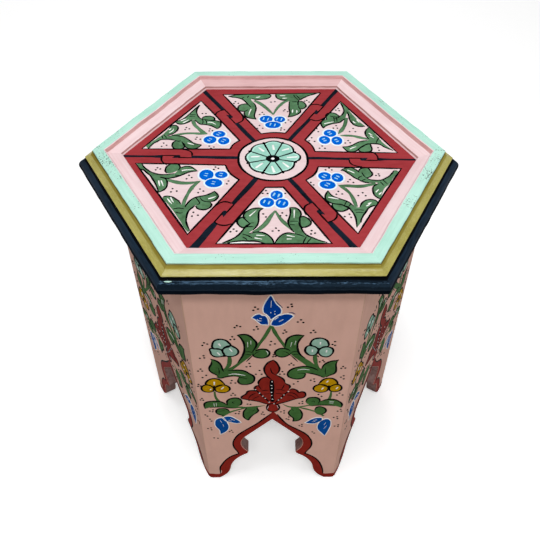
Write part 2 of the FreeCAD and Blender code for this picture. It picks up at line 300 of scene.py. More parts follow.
# ---------------------------------------------------------------------------------------------------------
# Screws, nails and brads. Bright zinc-plated steel wire and screws: a soft white metal shine, dulled in
# patches a few millimetres wide.
ZINC_PATCH = 3 * MM
zinc, zinc_shader = new_material("zinc plated steel")
zinc_place = add_node(zinc, "ShaderNodeTexCoord").outputs["Object"]
zinc_patches = add_node(zinc, "ShaderNodeTexNoise", {"Vector": zinc_place, "Scale": 1 / ZINC_PATCH,
                                                     "Detail": 3})
zinc_dull = add_node(zinc, "ShaderNodeMapRange", {"Value": zinc_patches.outputs[0], "To Min": 0.25,
                                                  "To Max": 0.5})
zinc.node_tree.links.new(zinc_dull.outputs[0], zinc_shader.inputs["Roughness"])
zinc_shader.inputs["Base Color"].default_value = paint_colour("#BFC1C2")
zinc_shader.inputs["Metallic"].default_value = 1
for name in ("cleat_screws", "cleat_nails", "rim_brads", "nosing_brads"):
    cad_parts[name].data.materials.clear()
    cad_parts[name].data.materials.append(zinc)

# ---------------------------------------------------------------------------------------------------------
# Top board. A 20 mm board glued up from pine and cut to a hexagon. Its upper face is the tray, painted pink
# as a ground for the ornament; its edge and underside are bare.
TOP_LOW = 420.5 * MM
TRAY_LEVEL = 440.5 * MM
tray_pink = oil_paint("pink oil paint on the tray", "#EFD9DA", "#E7CDCF", roughness=0.34, marks=(30, 3, 3))
bare_top = softwood("bare pine, grain level", "#C9A77C", "#AD855A", grain="level")
bpy.ops.object.select_all(action="DESELECT")
bpy.ops.mesh.primitive_cylinder_add(vertices=6, radius=2 * BOARD_HALF, depth=TRAY_LEVEL - TOP_LOW,
                                    location=(0, 0, (TOP_LOW + TRAY_LEVEL) / 2),
                                    rotation=(0, 0, math.pi / 6))
top_board = bpy.context.active_object
top_board.name = "tray_board"
bpy.ops.object.transform_apply(location=True, rotation=True, scale=True)
top_board.data.materials.append(bare_top)
top_board.data.materials.append(tray_pink)
for face in top_board.data.polygons:
    face.material_index = 1 if face.normal.z > 0.9 else 0
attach(top_board, "root")
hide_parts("top_board")

# ---------------------------------------------------------------------------------------------------------
# Nosing. Six lippings of softwood round the edge of the top board, planed to a half-round bead with a small
# square step above it, mitred at the corners, bradded on and painted in glossy dark navy enamel. The step
# and the top of the bead are near black as painted shade and a painted dark reflection, and on five sides
# the upward faces are a lighter navy as a painted sheen.
BEAD_RADIUS = 9.0
BEAD_MIDDLE = (166.9, 429.0)
STEP_FACE = 168.0
STEP_FOOT = 437.4 * MM
# a strip is run longer than it needs to be, cut across into short parts, and then mitred
RUN_HALF = 115 * MM
STRIP_PARTS = 30
PARTS_HALF = 100 * MM
# the enamel is dull where the bead turns under, and on five sides painted lighter where it faces up, as a
# painted sheen
TURNED_UNDER = 0.2
FACING_UP = 0.35
# how far plane and paint stray, the lengths of the waves they leave, and how much the short ones sway
PLANED = 0.35 * MM
LONG_WAVE = 38 * MM
SHORT_WAVE = 13 * MM
LONG_SWAY = 45 * MM
SHORT_SWAY = 15 * MM
SHORT_SWAY_SHARE = 1.7
FRAME_MIDDLE = 160 * MM
# a drip of the rim's mint paint that fell on the front strip
DRIP_PLACE = (-91.4, -170.6, 437.1)
DRIP_HALF = (3.5, 1.7, 0.4)
DRIP_TILT = math.radians(-25)
# the tray's edge and the rim's bead, and how far the left and the right corner are off on each
TRAY_HALF = 134.3
RIM_BEAD = 149
CORNERS_OFF = (((-1.6, 4.2), (-1.8, 1.8)), ((-4.6, -4.4), (-5.2, -1.6)))


def arc(centre, radius, start, end, steps):
    """Points of a circular arc in a section, from one angle to another in degrees."""
    points = []
    for i in range(steps + 1):
        angle = math.radians(start + (end - start) * i / steps)
        points.append((centre[0] + radius * math.cos(angle), centre[1] + radius * math.sin(angle)))
    return points


def moulding(name, section):
    """A length of moulding run from its section (out, up, in mm) along side 1 and mitred at both corners."""
    drawn = bpy.data.curves.new(name, "CURVE")
    drawn.dimensions = "2D"
    drawn.fill_mode = "BOTH"
    drawn.extrude = RUN_HALF
    line = drawn.splines.new("POLY")
    line.points.add(len(section) - 1)
    for point, (out, up) in zip(line.points, section):
        point.co = (out * MM, up * MM, 0, 1)
    line.use_cyclic_u = True
    piece = bpy.data.objects.new(name, drawn)
    bpy.context.collection.objects.link(piece)
    alone(piece)
    bpy.ops.object.convert(target="MESH")
    piece = bpy.context.active_object
    # the section's out is -Y at side 1, its up is +Z, and its run is along X
    piece.matrix_world = Matrix(((0, 0, -1, 0), (-1, 0, 0, 0), (0, 1, 0, 0), (0, 0, 0, 1)))
    bpy.ops.object.transform_apply(location=True, rotation=True, scale=True)
    bpy.ops.object.mode_set(mode="EDIT")
    bpy.ops.mesh.select_all(action="SELECT")
    bpy.ops.mesh.remove_doubles(threshold=0.01 * MM)
    bpy.ops.mesh.dissolve_limited(angle_limit=math.radians(0.5))
    for i in range(1, STRIP_PARTS):
        bpy.ops.mesh.select_all(action="SELECT")
        bpy.ops.mesh.bisect(plane_co=((2 * i / STRIP_PARTS - 1) * PARTS_HALF, 0, 0), plane_no=(1, 0, 0))
    for hand in (-1, 1):
        bpy.ops.mesh.select_all(action="SELECT")
        mitre = (hand * math.cos(math.pi / 6), math.sin(math.pi / 6), 0)
        bpy.ops.mesh.bisect(plane_co=(0, 0, 0), plane_no=mitre, use_fill=True, clear_outer=True)
    bpy.ops.mesh.select_all(action="SELECT")
    bpy.ops.mesh.normals_make_consistent(inside=False)
    bpy.ops.object.mode_set(mode="OBJECT")
    laid = piece.data.attributes.new("laid", "FLOAT_VECTOR", "POINT")
    for place, vertex in zip(laid.data, piece.data.vertices):
        place.vector = vertex.co
    even_shading(piece, angle=40)
    return piece


def hand_planed(piece, amount, fixed_below=0):
    """The rise and fall that a hand plane and thick paint leave on a strip, above where it is held down."""
    for vertex in piece.data.vertices:
        if vertex.co.z > fixed_below:
            vertex.co.z += amount * noise.noise(vertex.co / LONG_WAVE)
            vertex.co.z += amount * noise.noise(vertex.co / SHORT_WAVE)
            sway = amount * noise.noise(vertex.co / LONG_SWAY + Vector((5, 5, 5)))
            level_place = Vector((vertex.co.x, vertex.co.y, 0))
            sway += SHORT_SWAY_SHARE * amount * noise.noise(level_place / SHORT_SWAY)
            vertex.co.x *= 1 + sway / FRAME_MIDDLE
            vertex.co.y *= 1 + sway / FRAME_MIDDLE


def off_true(piece):
    """Moves the two side corners to where they were mitred and painted, a few mm off the true hexagon."""
    for vertex in piece.data.vertices:
        x, y = vertex.co.x / MM, vertex.co.y / MM
        out = abs(x) * math.cos(math.pi / 6) + abs(y) / 2
        near_corner = max(0, 1 - abs(y) / out) if out else 0
        on_frame = min(1, max(0, (out - TRAY_HALF) / (RIM_BEAD - TRAY_HALF)))
        on_tray, mitred = CORNERS_OFF[x > 0]
        for i in (0, 1):
            off = (1 - on_frame) * min(1, out / TRAY_HALF) * on_tray[i] + on_frame * mitred[i]
            vertex.co[i] += near_corner * off * MM


nosing_section = [(150.69, 420.0), *arc(BEAD_MIDDLE, BEAD_RADIUS, -90, 82.5, 26), (STEP_FACE, 438.4),
                  *arc((STEP_FACE - 0.5, 440.0), 0.5, 0, 90, 3), (150.69, 440.5)]
nosing_navy = oil_paint("navy gloss enamel", "#070F18", "#03060A", roughness=0.13, marks=(5, 1.5, 1.5),
                        relief=0.42, laid=True, sheen=0.23, bristles=1)
enamel = nosing_navy.node_tree.nodes["Principled BSDF"]
enamel.inputs["Specular Tint"].default_value = paint_colour("#86B4DE")
nosing_dull = oil_paint("navy enamel, thin and dull underneath", "#0B141E", "#070D14", roughness=0.4,
                        marks=(16, 1.5, 1.5), laid=True)
# the step and the top of the bead above STEP_FOOT are near black: painted shade and a painted dark
# reflection
nosing_step_shade = oil_paint("black paint on the step", "#090B0E", "#050608", roughness=0.5,
                         marks=(16, 1.1, 1.1), laid=True, sheen=0.01)
# a lighter navy for the upward faces of five nosings: a painted sheen
nosing_painted_sheen = oil_paint("navy enamel, lighter as a painted sheen", "#1D2D3D", "#131F2B", roughness=0.35, marks=(13, 1.7, 1.7),
                        relief=0.3, laid=True, sheen=0.025, bristles=1)
drip_mint = oil_paint("drip of mint oil paint", "#D2FBEE", "#B2E0D4", marks=(4, 1, 1))
strip = moulding("nosing", nosing_section)
for paint in (nosing_navy, nosing_dull, nosing_step_shade, nosing_painted_sheen):
    strip.data.materials.append(paint)
for face in strip.data.polygons:
    face.material_index = 2 if face.center.z > STEP_FOOT else 1 if face.normal.z < TURNED_UNDER else 0
for side in SIDES:
    piece = turned_to(strip, side, f"nosing_{side}")
    for face in piece.data.polygons:
        if side != 1 and face.material_index == 0:
            face.material_index = 3 if face.normal.z > FACING_UP else 1
    hand_planed(piece, PLANED)
    off_true(piece)
    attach(piece, "root")
    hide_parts(f"nosing_strip_{side}")
bpy.data.objects.remove(strip)
# the brads sit in the strips as they were planed and mitred, and the rim strips are held at their foot
RIM_HELD_BELOW = 441 * MM
for name, fixed_below in (("nosing_brads", 0), ("rim_brads", RIM_HELD_BELOW)):
    brads = bpy.data.objects.new(f"{name}_as_set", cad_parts[name].data.copy())
    bpy.context.collection.objects.link(brads)
    hand_planed(brads, PLANED, fixed_below)
    off_true(brads)
    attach(brads, "root")
    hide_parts(name)
bpy.ops.object.select_all(action="DESELECT")
bpy.ops.mesh.primitive_uv_sphere_add(segments=24, ring_count=12, radius=1, location=Vector(DRIP_PLACE) * MM,
                                     rotation=(DRIP_TILT, 0, 0))
drip = bpy.context.active_object
drip.name = "mint_drip"
drip.scale = Vector(DRIP_HALF) * MM
bpy.ops.object.transform_apply(location=True, rotation=True, scale=True)
drip.data.materials.append(drip_mint)
even_shading(drip)
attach(drip, "root")

# ---------------------------------------------------------------------------------------------------------
# Cove. Six small hollow mouldings of softwood under the rim's lip, mitred, and painted in a satin olive,
# darker in the hollow as painted shade, and darkest just under the lip as a painted shadow.
# above these heights the cove is painted darker: painted shade in the hollow, a painted shadow under the lip
SHADE_FROM = 443.6 * MM
LIP_SHADOW_FROM = 446.8 * MM
cove_section = [(156.5, 440.5), (168.4, 440.5), (168.4, 441.1), (166.3, 441.7), (164.3, 442.6),
                (162.6, 443.9), (161.3, 445.6), (160.75, 446.9), (160.4, 447.8), (156.5, 447.8)]
cove_olive = oil_paint("olive oil paint", "#AFA755", "#978D34", roughness=0.25, marks=(5, 1.3, 1.3),
                       relief=0.6, laid=True, sheen=0.45, bristles=2)
# the upper hollow of the cove is painted darker: painted shade
cove_shade = oil_paint("olive oil paint, darker as painted shade", "#A19545", "#89792D", roughness=0.35, marks=(22, 1.6, 1.6),
                       relief=0.3, laid=True)
# the face just under the lip is painted darker still: a painted shadow
cove_lip_shadow = oil_paint("olive oil paint and dirt under the lip", "#807642", "#665C30", roughness=0.5,
                       marks=(9, 2, 2), laid=True)
strip = moulding("cove", cove_section)
for paint in (cove_olive, cove_shade, cove_lip_shadow):
    strip.data.materials.append(paint)
for face in strip.data.polygons:
    face.material_index = 2 if face.center.z > LIP_SHADOW_FROM else 1 if face.center.z > SHADE_FROM else 0
for side in SIDES:
    piece = turned_to(strip, side, f"cove_{side}")
    off_true(piece)
    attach(piece, "root")
    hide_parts(f"cove_strip_{side}")
bpy.data.objects.remove(strip)

# ---------------------------------------------------------------------------------------------------------
# Rim. Six mouldings of softwood round the tray: a flat lip painted mint, which has small chips and dark
# specks, a little bead at its inner edge, and a slope down to the tray, both pink. On the back strips the
# bead and the toe of the slope are darker as painted shade, and so is the back strip's slope.
RIM_FLAT_INNER = 149.9
FLAT_MARGIN = 0.3
BEAD_FOOT = (146.7, 149)
BEAD_STEEPNESS = 0.4
SLOPE_TOE = (135, 136.1)
RIM_PLANED = 0.3 * MM
rim_section = [(134.4, 440.5), (156.5, 440.5), (156.5, 447.8), (160.2, 447.8),
               *arc((159.5, 449.1), 0.9, -20, 90, 4), (149.7, 450), (148.9, 449.5), (148.3, 448.4),
               (147.7, 447.0), (146.6, 446.4), (140.5, 444.7), (136.2, 443.5), (135.0, 442.2),
               (134.4, 440.9)]
rim_mint = oil_paint("mint oil paint", "#C3EFE0", "#B2E3D2", roughness=0.36, marks=(40, 3, 3), laid=True,
                     chips="#5C7266", chip_share=0.635, worn_at=(170, 4, 450))
rim_pink = oil_paint("pink oil paint on the rim", "#F7DEE0", "#EFD0D2", roughness=0.36, marks=(50, 3, 3),
                     laid=True, chips="#B98A80", chip_share=0.69)
# a darker copy of the rim's pink, kept for the back strip's slope: painted shade
rim_pink_back_shade = oil_paint("duller pink oil paint on the rim", "#E6C0C1", "#DBB0B1", roughness=0.36,
                          marks=(50, 3, 3), laid=True, chips="#8A5A50", chip_share=0.69)
# a rose pink on the bead's steep face: painted shade
rim_bead_shade = oil_paint("rose oil paint under the rim's bead", "#D8AAA8", "#C69492", roughness=0.4,
                     marks=(18, 2, 2), laid=True)
# a mauve on the steep toe of the slope: painted shade
rim_toe_shade = oil_paint("mauve dirt in the rim's quirk", "#B58784", "#9C6F6B", roughness=0.5, marks=(9, 2, 2),
                    laid=True)
strip = moulding("rim", rim_section)
for paint in (rim_mint, rim_pink_back_shade, rim_bead_shade, rim_toe_shade):
    strip.data.materials.append(paint)
for face in strip.data.polygons:
    out = -face.center.y / MM
    if out > RIM_FLAT_INNER - FLAT_MARGIN:
        face.material_index = 0
    elif BEAD_FOOT[0] < out < BEAD_FOOT[1] and face.normal.y > BEAD_STEEPNESS:
        face.material_index = 2
    else:
        face.material_index = 3 if SLOPE_TOE[0] < out < SLOPE_TOE[1] else 1
for side in SIDES:
    piece = turned_to(strip, side, f"rim_{side}")
    # every strip but the back one gets plain pink on its slope, so the painted shade there is only on the
    # back
    if side != 4:
        piece.data.materials[1] = rim_pink
    # the three front strips get plain pink on the bead and the toe, so the painted shade there is only on
    # the back
    if side in (1, 2, 6):
        piece.data.materials[2] = piece.data.materials[3] = rim_pink
    hand_planed(piece, RIM_PLANED, RIM_HELD_BELOW)
    off_true(piece)
    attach(piece, "root")
    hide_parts(f"rim_strip_{side}")
bpy.data.objects.remove(strip)

# ---------------------------------------------------------------------------------------------------------
# Ornament on the sides. Traditional painted flower work, brushed freehand in oil colours over the dry pink
# ground: first the stems and the filled leaves, berries and petals, then black outlines, white lights and
# small dots in threes. Each colour lies as a thin film on the board, in mm from the middle and the floor.
TIP = "tip"
FILM = 0.10
FILM_STEP = 0.03
LINE_HEIGHT = 0.34
LIGHT_HEIGHT = 0.42
SUNK = -0.06
BLACK_LINE = 2.6
WHITE_EDGE = 1.4
# each film lies a hair over the last, a brush swells and thins along its way, and a dot has a smaller top
OVER_LAST = 0.003
BRUSH_SWELL = 0.16
DOT_TOP = 0.6

leaf_green = oil_paint("green oil paint", "#4A753F", "#3E6334", roughness=0.36, marks=(6, 6, 6))
berry_mint = oil_paint("pale green oil paint", "#A0C6B4", "#91B8A5", roughness=0.36, marks=(5, 5, 5))
berry_ochre = oil_paint("ochre oil paint", "#CE9D10", "#B4880A", roughness=0.36, marks=(5, 5, 5))
petal_blue = oil_paint("blue oil paint", "#0544A4", "#043B91", roughness=0.36, marks=(5, 5, 5))
drop_blue = oil_paint("azure oil paint", "#0F54A4", "#0B4A94", roughness=0.36, marks=(5, 5, 5))


def line_paint(name, colour, roughness):
    """Thin oil paint for brush lines, too fine for any shade of their own: their form varies instead."""
    material, shader = new_material(name)
    shader.inputs["Base Color"].default_value = paint_colour(colour)
    shader.inputs["Roughness"].default_value = roughness
    shader.inputs["Specular IOR Level"].default_value = 0.001
    return material


line_black = line_paint("black line paint", "#07080A", 0.36)
line_white = line_paint("white line paint", "#FBFBF8", 0.42)
line_blue = line_paint("dark blue line paint", "#0E2C66", 0.36)

painted = []        # the films of the group that is being painted


def add_spline(drawn, points, closed, widths=None):
    """A smooth line through points, with a corner wherever a point says TIP."""
    line = drawn.splines.new("BEZIER")
    line.bezier_points.add(len(points) - 1)
    for i, (knot, point) in enumerate(zip(line.bezier_points, points)):
        knot.co = (point[0] * MM, point[1] * MM, 0)
        knot.handle_left_type = knot.handle_right_type = "VECTOR" if len(point) > 2 else "AUTO"
        if widths:
            knot.radius = widths[i]
    line.use_cyclic_u = closed


def film(name, drawn, paint, low, high):
    """Turns a drawn curve into a film of paint between two heights over the ground."""
    piece = bpy.data.objects.new(name, drawn)
    bpy.context.collection.objects.link(piece)
    drawn.materials.append(paint)
    alone(piece)
    bpy.ops.object.convert(target="MESH")
    piece = bpy.context.active_object
    over_last = OVER_LAST * len(painted) if drawn.dimensions == "2D" else 0
    for vertex in piece.data.vertices:
        rise = vertex.co.z / MM
        vertex.co.z = MM * (low if rise < -0.01 else high + over_last if rise > 0.2 else max(0, rise))
    painted.append(piece)


def fill(paint, *outlines, layer=0):
    """Areas filled with one colour, each inside its closed outline."""
    for outline in outlines:
        drawn = bpy.data.curves.new("filled", "CURVE")
        drawn.dimensions = "2D"
        drawn.fill_mode = "BOTH"
        drawn.extrude = 0.5 * MM
        drawn.resolution_u = 4
        add_spline(drawn, outline, True)
        film("filled", drawn, paint, SUNK, FILM + layer * FILM_STEP)


def stroke(paint, width, *lines, ends=(0.35, 0.35), closed=False, height=LINE_HEIGHT):
    """Brush strokes of about one width that thin out at their ends."""
    drawn = bpy.data.curves.new("stroke", "CURVE")
    drawn.dimensions = "3D"
    drawn.bevel_depth = MM
    drawn.bevel_resolution = 1
    drawn.resolution_u = 4
    drawn.use_fill_caps = True
    for line in lines:
        widths = [width / 2 * (1 + BRUSH_SWELL * math.sin(2.3 * i + line[0][0])) for i in range(len(line))]
        if not closed:
            widths[0] *= ends[0]
            widths[-1] *= ends[1]
        add_spline(drawn, line, closed, widths)
    film("stroke", drawn, paint, SUNK, height)


def dot(paint, radius, *centres, height=LINE_HEIGHT):
    """Round touches of a fine brush: low eight-sided domes."""
    for x, z in centres:
        bpy.ops.mesh.primitive_cone_add(vertices=8, radius1=radius * MM, radius2=radius * DOT_TOP * MM,
                                        depth=(height - SUNK) * MM,
                                        location=(x * MM, z * MM, (height + SUNK) / 2 * MM))
        piece = bpy.context.active_object
        bpy.ops.object.transform_apply(location=True)
        piece.data.materials.append(paint)
        painted.append(piece)


def joined(name):
    """Joins the films painted so far into one piece."""
    alone(*painted)
    bpy.ops.object.join()
    piece = bpy.context.active_object
    piece.name = name
    painted.clear()
    bpy.ops.object.mode_set(mode="EDIT")
    bpy.ops.mesh.select_all(action="SELECT")
    bpy.ops.mesh.remove_doubles(threshold=0.002 * MM)
    bpy.ops.mesh.normals_make_consistent(inside=False)
    bpy.ops.object.mode_set(mode="OBJECT")
    return piece


def mirrored(points):
    """The same strokes on the right half: the painted middle leans a little from top to foot."""
    lean = [(p[1] - 250) / 50 for p in points]
    axis = [-2.3 if p[1] > 330 else -max(-1, min(a, 1.3)) for p, a in zip(points, lean)]
    return [(2 * a - p[0], *p[1:]) for a, p in zip(axis, points)]


# the tulip under the nosing: three blue petals with white edges, on two stems
petal_middle = [(-2.3, 395.4, TIP), (-4, 393), (-6.5, 387.7), (-8.7, 381.3), (-9.8, 376.3), (-9.7, 371.8),
                (-8.7, 368.2), (-6.5, 366.2), (-3.9, 362), (-2.1, 357.6, TIP), (1.6, 362), (5.1, 365.7),
                (7.6, 367.7), (8.2, 370.8), (8, 374.3), (6.5, 377.8), (3.6, 381.8), (1, 387.7),
                (-0.6, 392.5)]
petal_left = [(-21.1, 361, TIP), (-18.7, 364.6), (-16.1, 366.7), (-12.9, 367.2), (-10.7, 365.2),
              (-7.8, 364.6), (-5.8, 361.5), (-4.7, 357.4), (-4.4, 353.1), (-4.5, 349.9, TIP), (-7.8, 350.2),
              (-11.7, 350.7), (-14, 353.1), (-16.9, 357.4), (-19.5, 360)]
petal_right = [(-2.1, 349.4, TIP), (-1.9, 353.1), (-0.3, 357.4), (1.6, 361), (4.8, 364.1), (8, 365.7),
               (11.2, 367), (15.3, 367.2), (18.6, 365.7), (20.3, 363.6, TIP), (17.2, 358.9), (13.7, 354.7),
               (10.5, 351), (6.7, 348.6), (1.7, 348.1)]
stroke(leaf_green, 3.8,
       [(-1.9, 348.7), (-4.5, 340.7), (-8.5, 329.7), (-12.6, 320.9), (-16.4, 312.9), (-20.2, 302.9)],
       [(-1, 347.7), (1.8, 338.2), (5.7, 328.3), (10.3, 318.2), (14.9, 309.7), (20.7, 302.1), (28.9, 292.3),
        (37.2, 283.3), (45.1, 276.2)], ends=(0.8, 0.7), height=0.05)
fill(petal_blue, petal_middle, layer=1)
fill(petal_blue, petal_left, petal_right, layer=2)

# berries in threes: mint above, ochre below
mint_left = [[(-61.8, 311.1), (-61.9, 318.3), (-59.7, 323.6), (-56.2, 325.8), (-52.5, 326.2), (-48.5, 324.5),
              (-45.5, 320.5), (-43.7, 315.6), (-46, 313), (-49, 311.9), (-52.4, 308.9), (-58.1, 309.6)],
             [(-64.7, 310.2), (-60.8, 309.8), (-56.6, 310.2), (-54.3, 308.4), (-52.1, 303.9), (-51.3, 298.3),
              (-56.3, 295.5), (-61.1, 296), (-64.1, 299.3), (-64.9, 303.9)],
             [(-43.7, 315.2), (-40.1, 312.5), (-37.1, 308.9), (-36.1, 304.8), (-37.3, 300.2), (-41.2, 296.9),
              (-45.5, 296), (-49.2, 297.4), (-51.7, 301.1), (-52.3, 305.7), (-51.3, 310.2), (-47.9, 313.8)]]
mint_right = [[(39.2, 316.3), (39.3, 321), (41.7, 325.6), (46, 327.4), (50.9, 327), (54.9, 323.8),
               (57.3, 318.2), (57.3, 314.5), (52.4, 312.6), (48.2, 309.7), (44.1, 312.6)],
              [(33.8, 307.8), (36.8, 314.5), (40.1, 314.5), (44.7, 312.1), (47.2, 307.8), (46.9, 303),
               (44.9, 298.7), (40.4, 297.4), (35.8, 301.1)],
              [(47.9, 305), (49.8, 309.7), (53.6, 312.1), (58, 312.1), (62.1, 308.8), (63, 305),
               (61.7, 299.2), (58.1, 295.2), (53.6, 295.2), (49.4, 299.2)]]
ochre_left = [[(-74.9, 242.6, TIP), (-73.2, 247.4), (-69, 252.2), (-63.8, 253.4), (-58.7, 251),
               (-55.7, 246.2), (-53.4, 241.4, TIP), (-58, 239.6), (-65.4, 236.5), (-70.5, 239.6)],
              [(-79.8, 234.1), (-77.1, 239.6), (-73.7, 240.8), (-69.9, 239.6), (-66.8, 235.3),
               (-66.5, 230.4), (-69.4, 226.6), (-74.7, 226), (-78.5, 228.5)],
              [(-64.2, 235.3), (-60.7, 239.6), (-56, 240.8), (-51.5, 239), (-48.5, 234.1), (-49.3, 229.1),
               (-53.5, 225.4), (-58.2, 224.8), (-62.7, 226.6), (-64.8, 231.6)]]
ochre_right = [[(-1.9 - p[0], p[1], *p[2:]) for p in outline] for outline in ochre_left]
fill(berry_mint, *mint_left[:2], *mint_right[:2], layer=1)
fill(berry_mint, mint_left[2], mint_right[2], layer=2)
fill(berry_ochre, ochre_left[0], ochre_right[0], layer=1)
fill(berry_ochre, *ochre_left[1:], *ochre_right[1:], layer=2)
stroke(leaf_green, 4.7, [(-45.8, 297.5), (-45.8, 288), (-47, 280.3), (-49.8, 273.5), (-53.4, 266.6)],
       [(44.4, 298.2), (45.2, 289.3), (46.5, 281.3), (48.4, 273.1), (52, 267)], ends=(0.8, 1.7), height=0.06)
ochre_stalk = [(-65.9, 226.9), (-65.4, 215.3), (-63.1, 207.5), (-58.7, 201), (-51.5, 196)]
stroke(leaf_green, 3.2, ochre_stalk, mirrored(ochre_stalk), ends=(0.7, 1), height=0.07)

# leaves round the berries, left and right
curl_outer = [(-36.2, 332.9, TIP), (-32.1, 334), (-27.5, 334), (-23.4, 331.4), (-19.9, 326.2),
              (-17.3, 320.9), (-17.1, 315.6), (-18.8, 310.2), (-21.3, 304.3)]
curl_inner = [(-36.2, 332.9, TIP), (-33.7, 330.5), (-31.3, 325.3), (-29.6, 319.2), (-29.3, 312),
              (-29.8, 304.8), (-31.3, 298.3), (-33.9, 291.8), (-37.3, 284.2)]
curl_stalk = [(-19.7, 302), (-22.4, 297.4), (-27.4, 290.8), (-33.6, 283.2), (-38.7, 276.4), (-46.4, 269.5),
              (-50.2, 271.5), (-45.3, 275.5)]
curl_outer_r = [(31.6, 332.4, TIP), (24, 332.8), (18.7, 331), (15, 326.5), (13.5, 320.1), (12.6, 311.6),
                (15.5, 305)]
curl_inner_r = [(31.6, 332.4, TIP), (27.1, 324.7), (25.4, 317.3), (26, 307.8), (28.6, 299.2), (34.6, 291.8),
                (39.5, 287)]
curl_stalk_r = [(17.7, 302), (20.5, 297.4), (25.8, 290.8), (32.3, 283.2), (37.6, 276.4), (44.5, 269.5),
                (49, 272), (45.5, 279)]
bulb = [(-18.1, 305.7), (-14.3, 308), (-10.1, 308.9), (-6.4, 307.5), (-3.7, 303.4), (-3.7, 299.3),
        (-5.8, 295.5), (-9.6, 293.2), (-13.9, 293.2), (-17.7, 294.6), (-20.3, 296.9), (-20.5, 301)]
bulb_r = [(18.3, 305.9), (14.9, 308.8), (10.4, 310.2), (5.5, 308.3), (2.5, 302.1), (4.5, 297.2),
          (9.6, 294.8), (14.1, 296.2), (17.4, 299.1), (19.5, 301.5)]
pointed_right = [(-66.2, 291.3, TIP), (-61.5, 288.9), (-58, 285.1), (-55.5, 279.3), (-54.3, 271.5),
                 (-53.3, 267.6)]
pointed_left = [(-58.8, 257.5), (-61.9, 261.5), (-66.3, 266), (-68.6, 271.5), (-67.8, 276.4), (-65.5, 282.2),
                (-65.1, 288)]
pointed_left_r = [(70.2, 289.3, TIP), (68.9, 287.6), (63.8, 286.8), (58.9, 283.8), (55.2, 279.3),
                  (52.9, 271), (53.5, 265)]
pointed_right_r = [(59, 256), (63, 259.5), (67.9, 263.7), (68.8, 271), (67.9, 281.3), (69, 286)]
scroll_top = [(-48.3, 269.5), (-42.2, 270), (-36.7, 270), (-31.2, 268.6), (-25.8, 263.6), (-21.1, 258.1),
              (-20.2, 252.2), (-21.9, 246.2), (-25.9, 242.6), (-31.1, 241.4), (-35.7, 242.6), (-38.1, 247.4),
              (-37.9, 253.4)]
scroll_foot = [(-35.9, 256.5), (-40.3, 258.6), (-45.5, 258.6), (-52, 256.9), (-57.9, 254.5), (-61.6, 256.9)]
scroll_top_r = [(49.5, 269), (43.5, 274.1), (34.7, 276.7), (27.3, 275.2), (20.5, 271), (16.6, 263.7),
                (17.6, 257.4), (19.2, 255.7), (23.8, 252.8), (30.3, 252.8), (34.7, 256.3), (35.5, 262.5)]
scroll_foot_r = [(36.8, 264.2), (42.3, 263.2), (50.1, 259.5), (56.9, 254.7)]
low_leaf = [(-79.4, 188.9, TIP), (-79.9, 195.7), (-78.9, 201), (-75.6, 204.2), (-70.7, 205.6),
            (-65.3, 205.6), (-60.6, 204.9), (-56, 201), (-52.1, 197), (-45.4, 193.7), (-33.8, 191.6)]
low_leaf_under = [(-40.7, 190.4), (-49.6, 190.6), (-59.1, 192.7), (-68.1, 192.4), (-73.7, 191.6)]
low_leaf_r = [(81.3, 190.3, TIP), (81.8, 197), (77, 204.9), (69.9, 208.8), (63.2, 208.2), (56.6, 204.9),
              (50, 199), (42, 196.3)]
low_leaf_under_r = [(46, 194.2), (53, 195.8), (64, 196.2), (73.8, 194.3)]
bulb_up = [(-52.1, 197), (-52.8, 203.6), (-50.9, 208.8), (-46.7, 212), (-42, 212.7), (-38, 210.8),
           (-35.8, 204.9), (-37, 198.3), (-39.2, 195), (-43, 191.8), (-48.5, 193)]
bulb_up_r = [(53.5, 200), (55.2, 206.2), (52.1, 212), (46.6, 213.3), (41.4, 211.4), (39, 203.6),
             (41.9, 198.6), (47.5, 196.3)]
bulb_low = [(-50.7, 182.1), (-53.9, 187.6), (-59.4, 188.9), (-64.3, 187.6), (-66.7, 182.1), (-65.5, 177.3),
            (-62.2, 174.6), (-57.3, 173.9), (-52.5, 177)]
bulb_low_r = [(50.3, 184.9), (53.3, 191.6), (58.8, 191.6), (63.9, 183.5), (61.2, 176.6), (56.4, 174.2),
              (52, 178)]
hanging = [(-30, 190.3), (-33.3, 183.5), (-34.5, 175.2), (-33.7, 168.3), (-31.2, 163.9), (-28.9, 161.9, TIP),
           (-26.6, 168.3), (-22.3, 175.2), (-18, 180.8), (-16.6, 184.9), (-18, 188.9), (-17.2, 191.6),
           (-23, 192.4)]
hanging_r = [(21.8, 186.2), (19.6, 179.4), (21.5, 172.5), (25.9, 165.4), (25.5, 158.3, TIP), (32.5, 161.2),
             (35.9, 172.5), (34.5, 180.8), (32.2, 187.6), (30, 191.8), (23, 192)]
fill(leaf_green, curl_outer + curl_stalk + curl_inner[:0:-1],
     curl_outer_r + curl_stalk_r + curl_inner_r[:0:-1], scroll_top + scroll_foot + [(-57, 260), (-53, 267)],
     scroll_top_r + scroll_foot_r + [(58, 257), (53, 268)], low_leaf + low_leaf_under,
     low_leaf_r + low_leaf_under_r)
fill(leaf_green, pointed_right + pointed_left, pointed_left_r + pointed_right_r, bulb, bulb_r, bulb_up,
     bulb_up_r, bulb_low, bulb_low_r, hanging, hanging_r, layer=1)
low_stems = [[(-36.8, 192), (-32.4, 191.6), (-25.5, 192.3), (-18.6, 193), (-8.3, 195.7)],
             [(44, 196), (36, 193.3), (29.9, 191.6), (24, 191.6), (18.9, 193), (11.9, 199)]]
stroke(leaf_green, 2.6, *low_stems, ends=(1, 0.25), height=0.08)
low_twig = [(-60.1, 171), (-55, 176.5), (-50, 180.8), (-42.9, 184.9), (-35.9, 188.3), (-27.7, 191.6)]
stroke(leaf_green, 2.8, low_twig, mirrored(low_twig), ends=(1.2, 0.6), height=0.09)

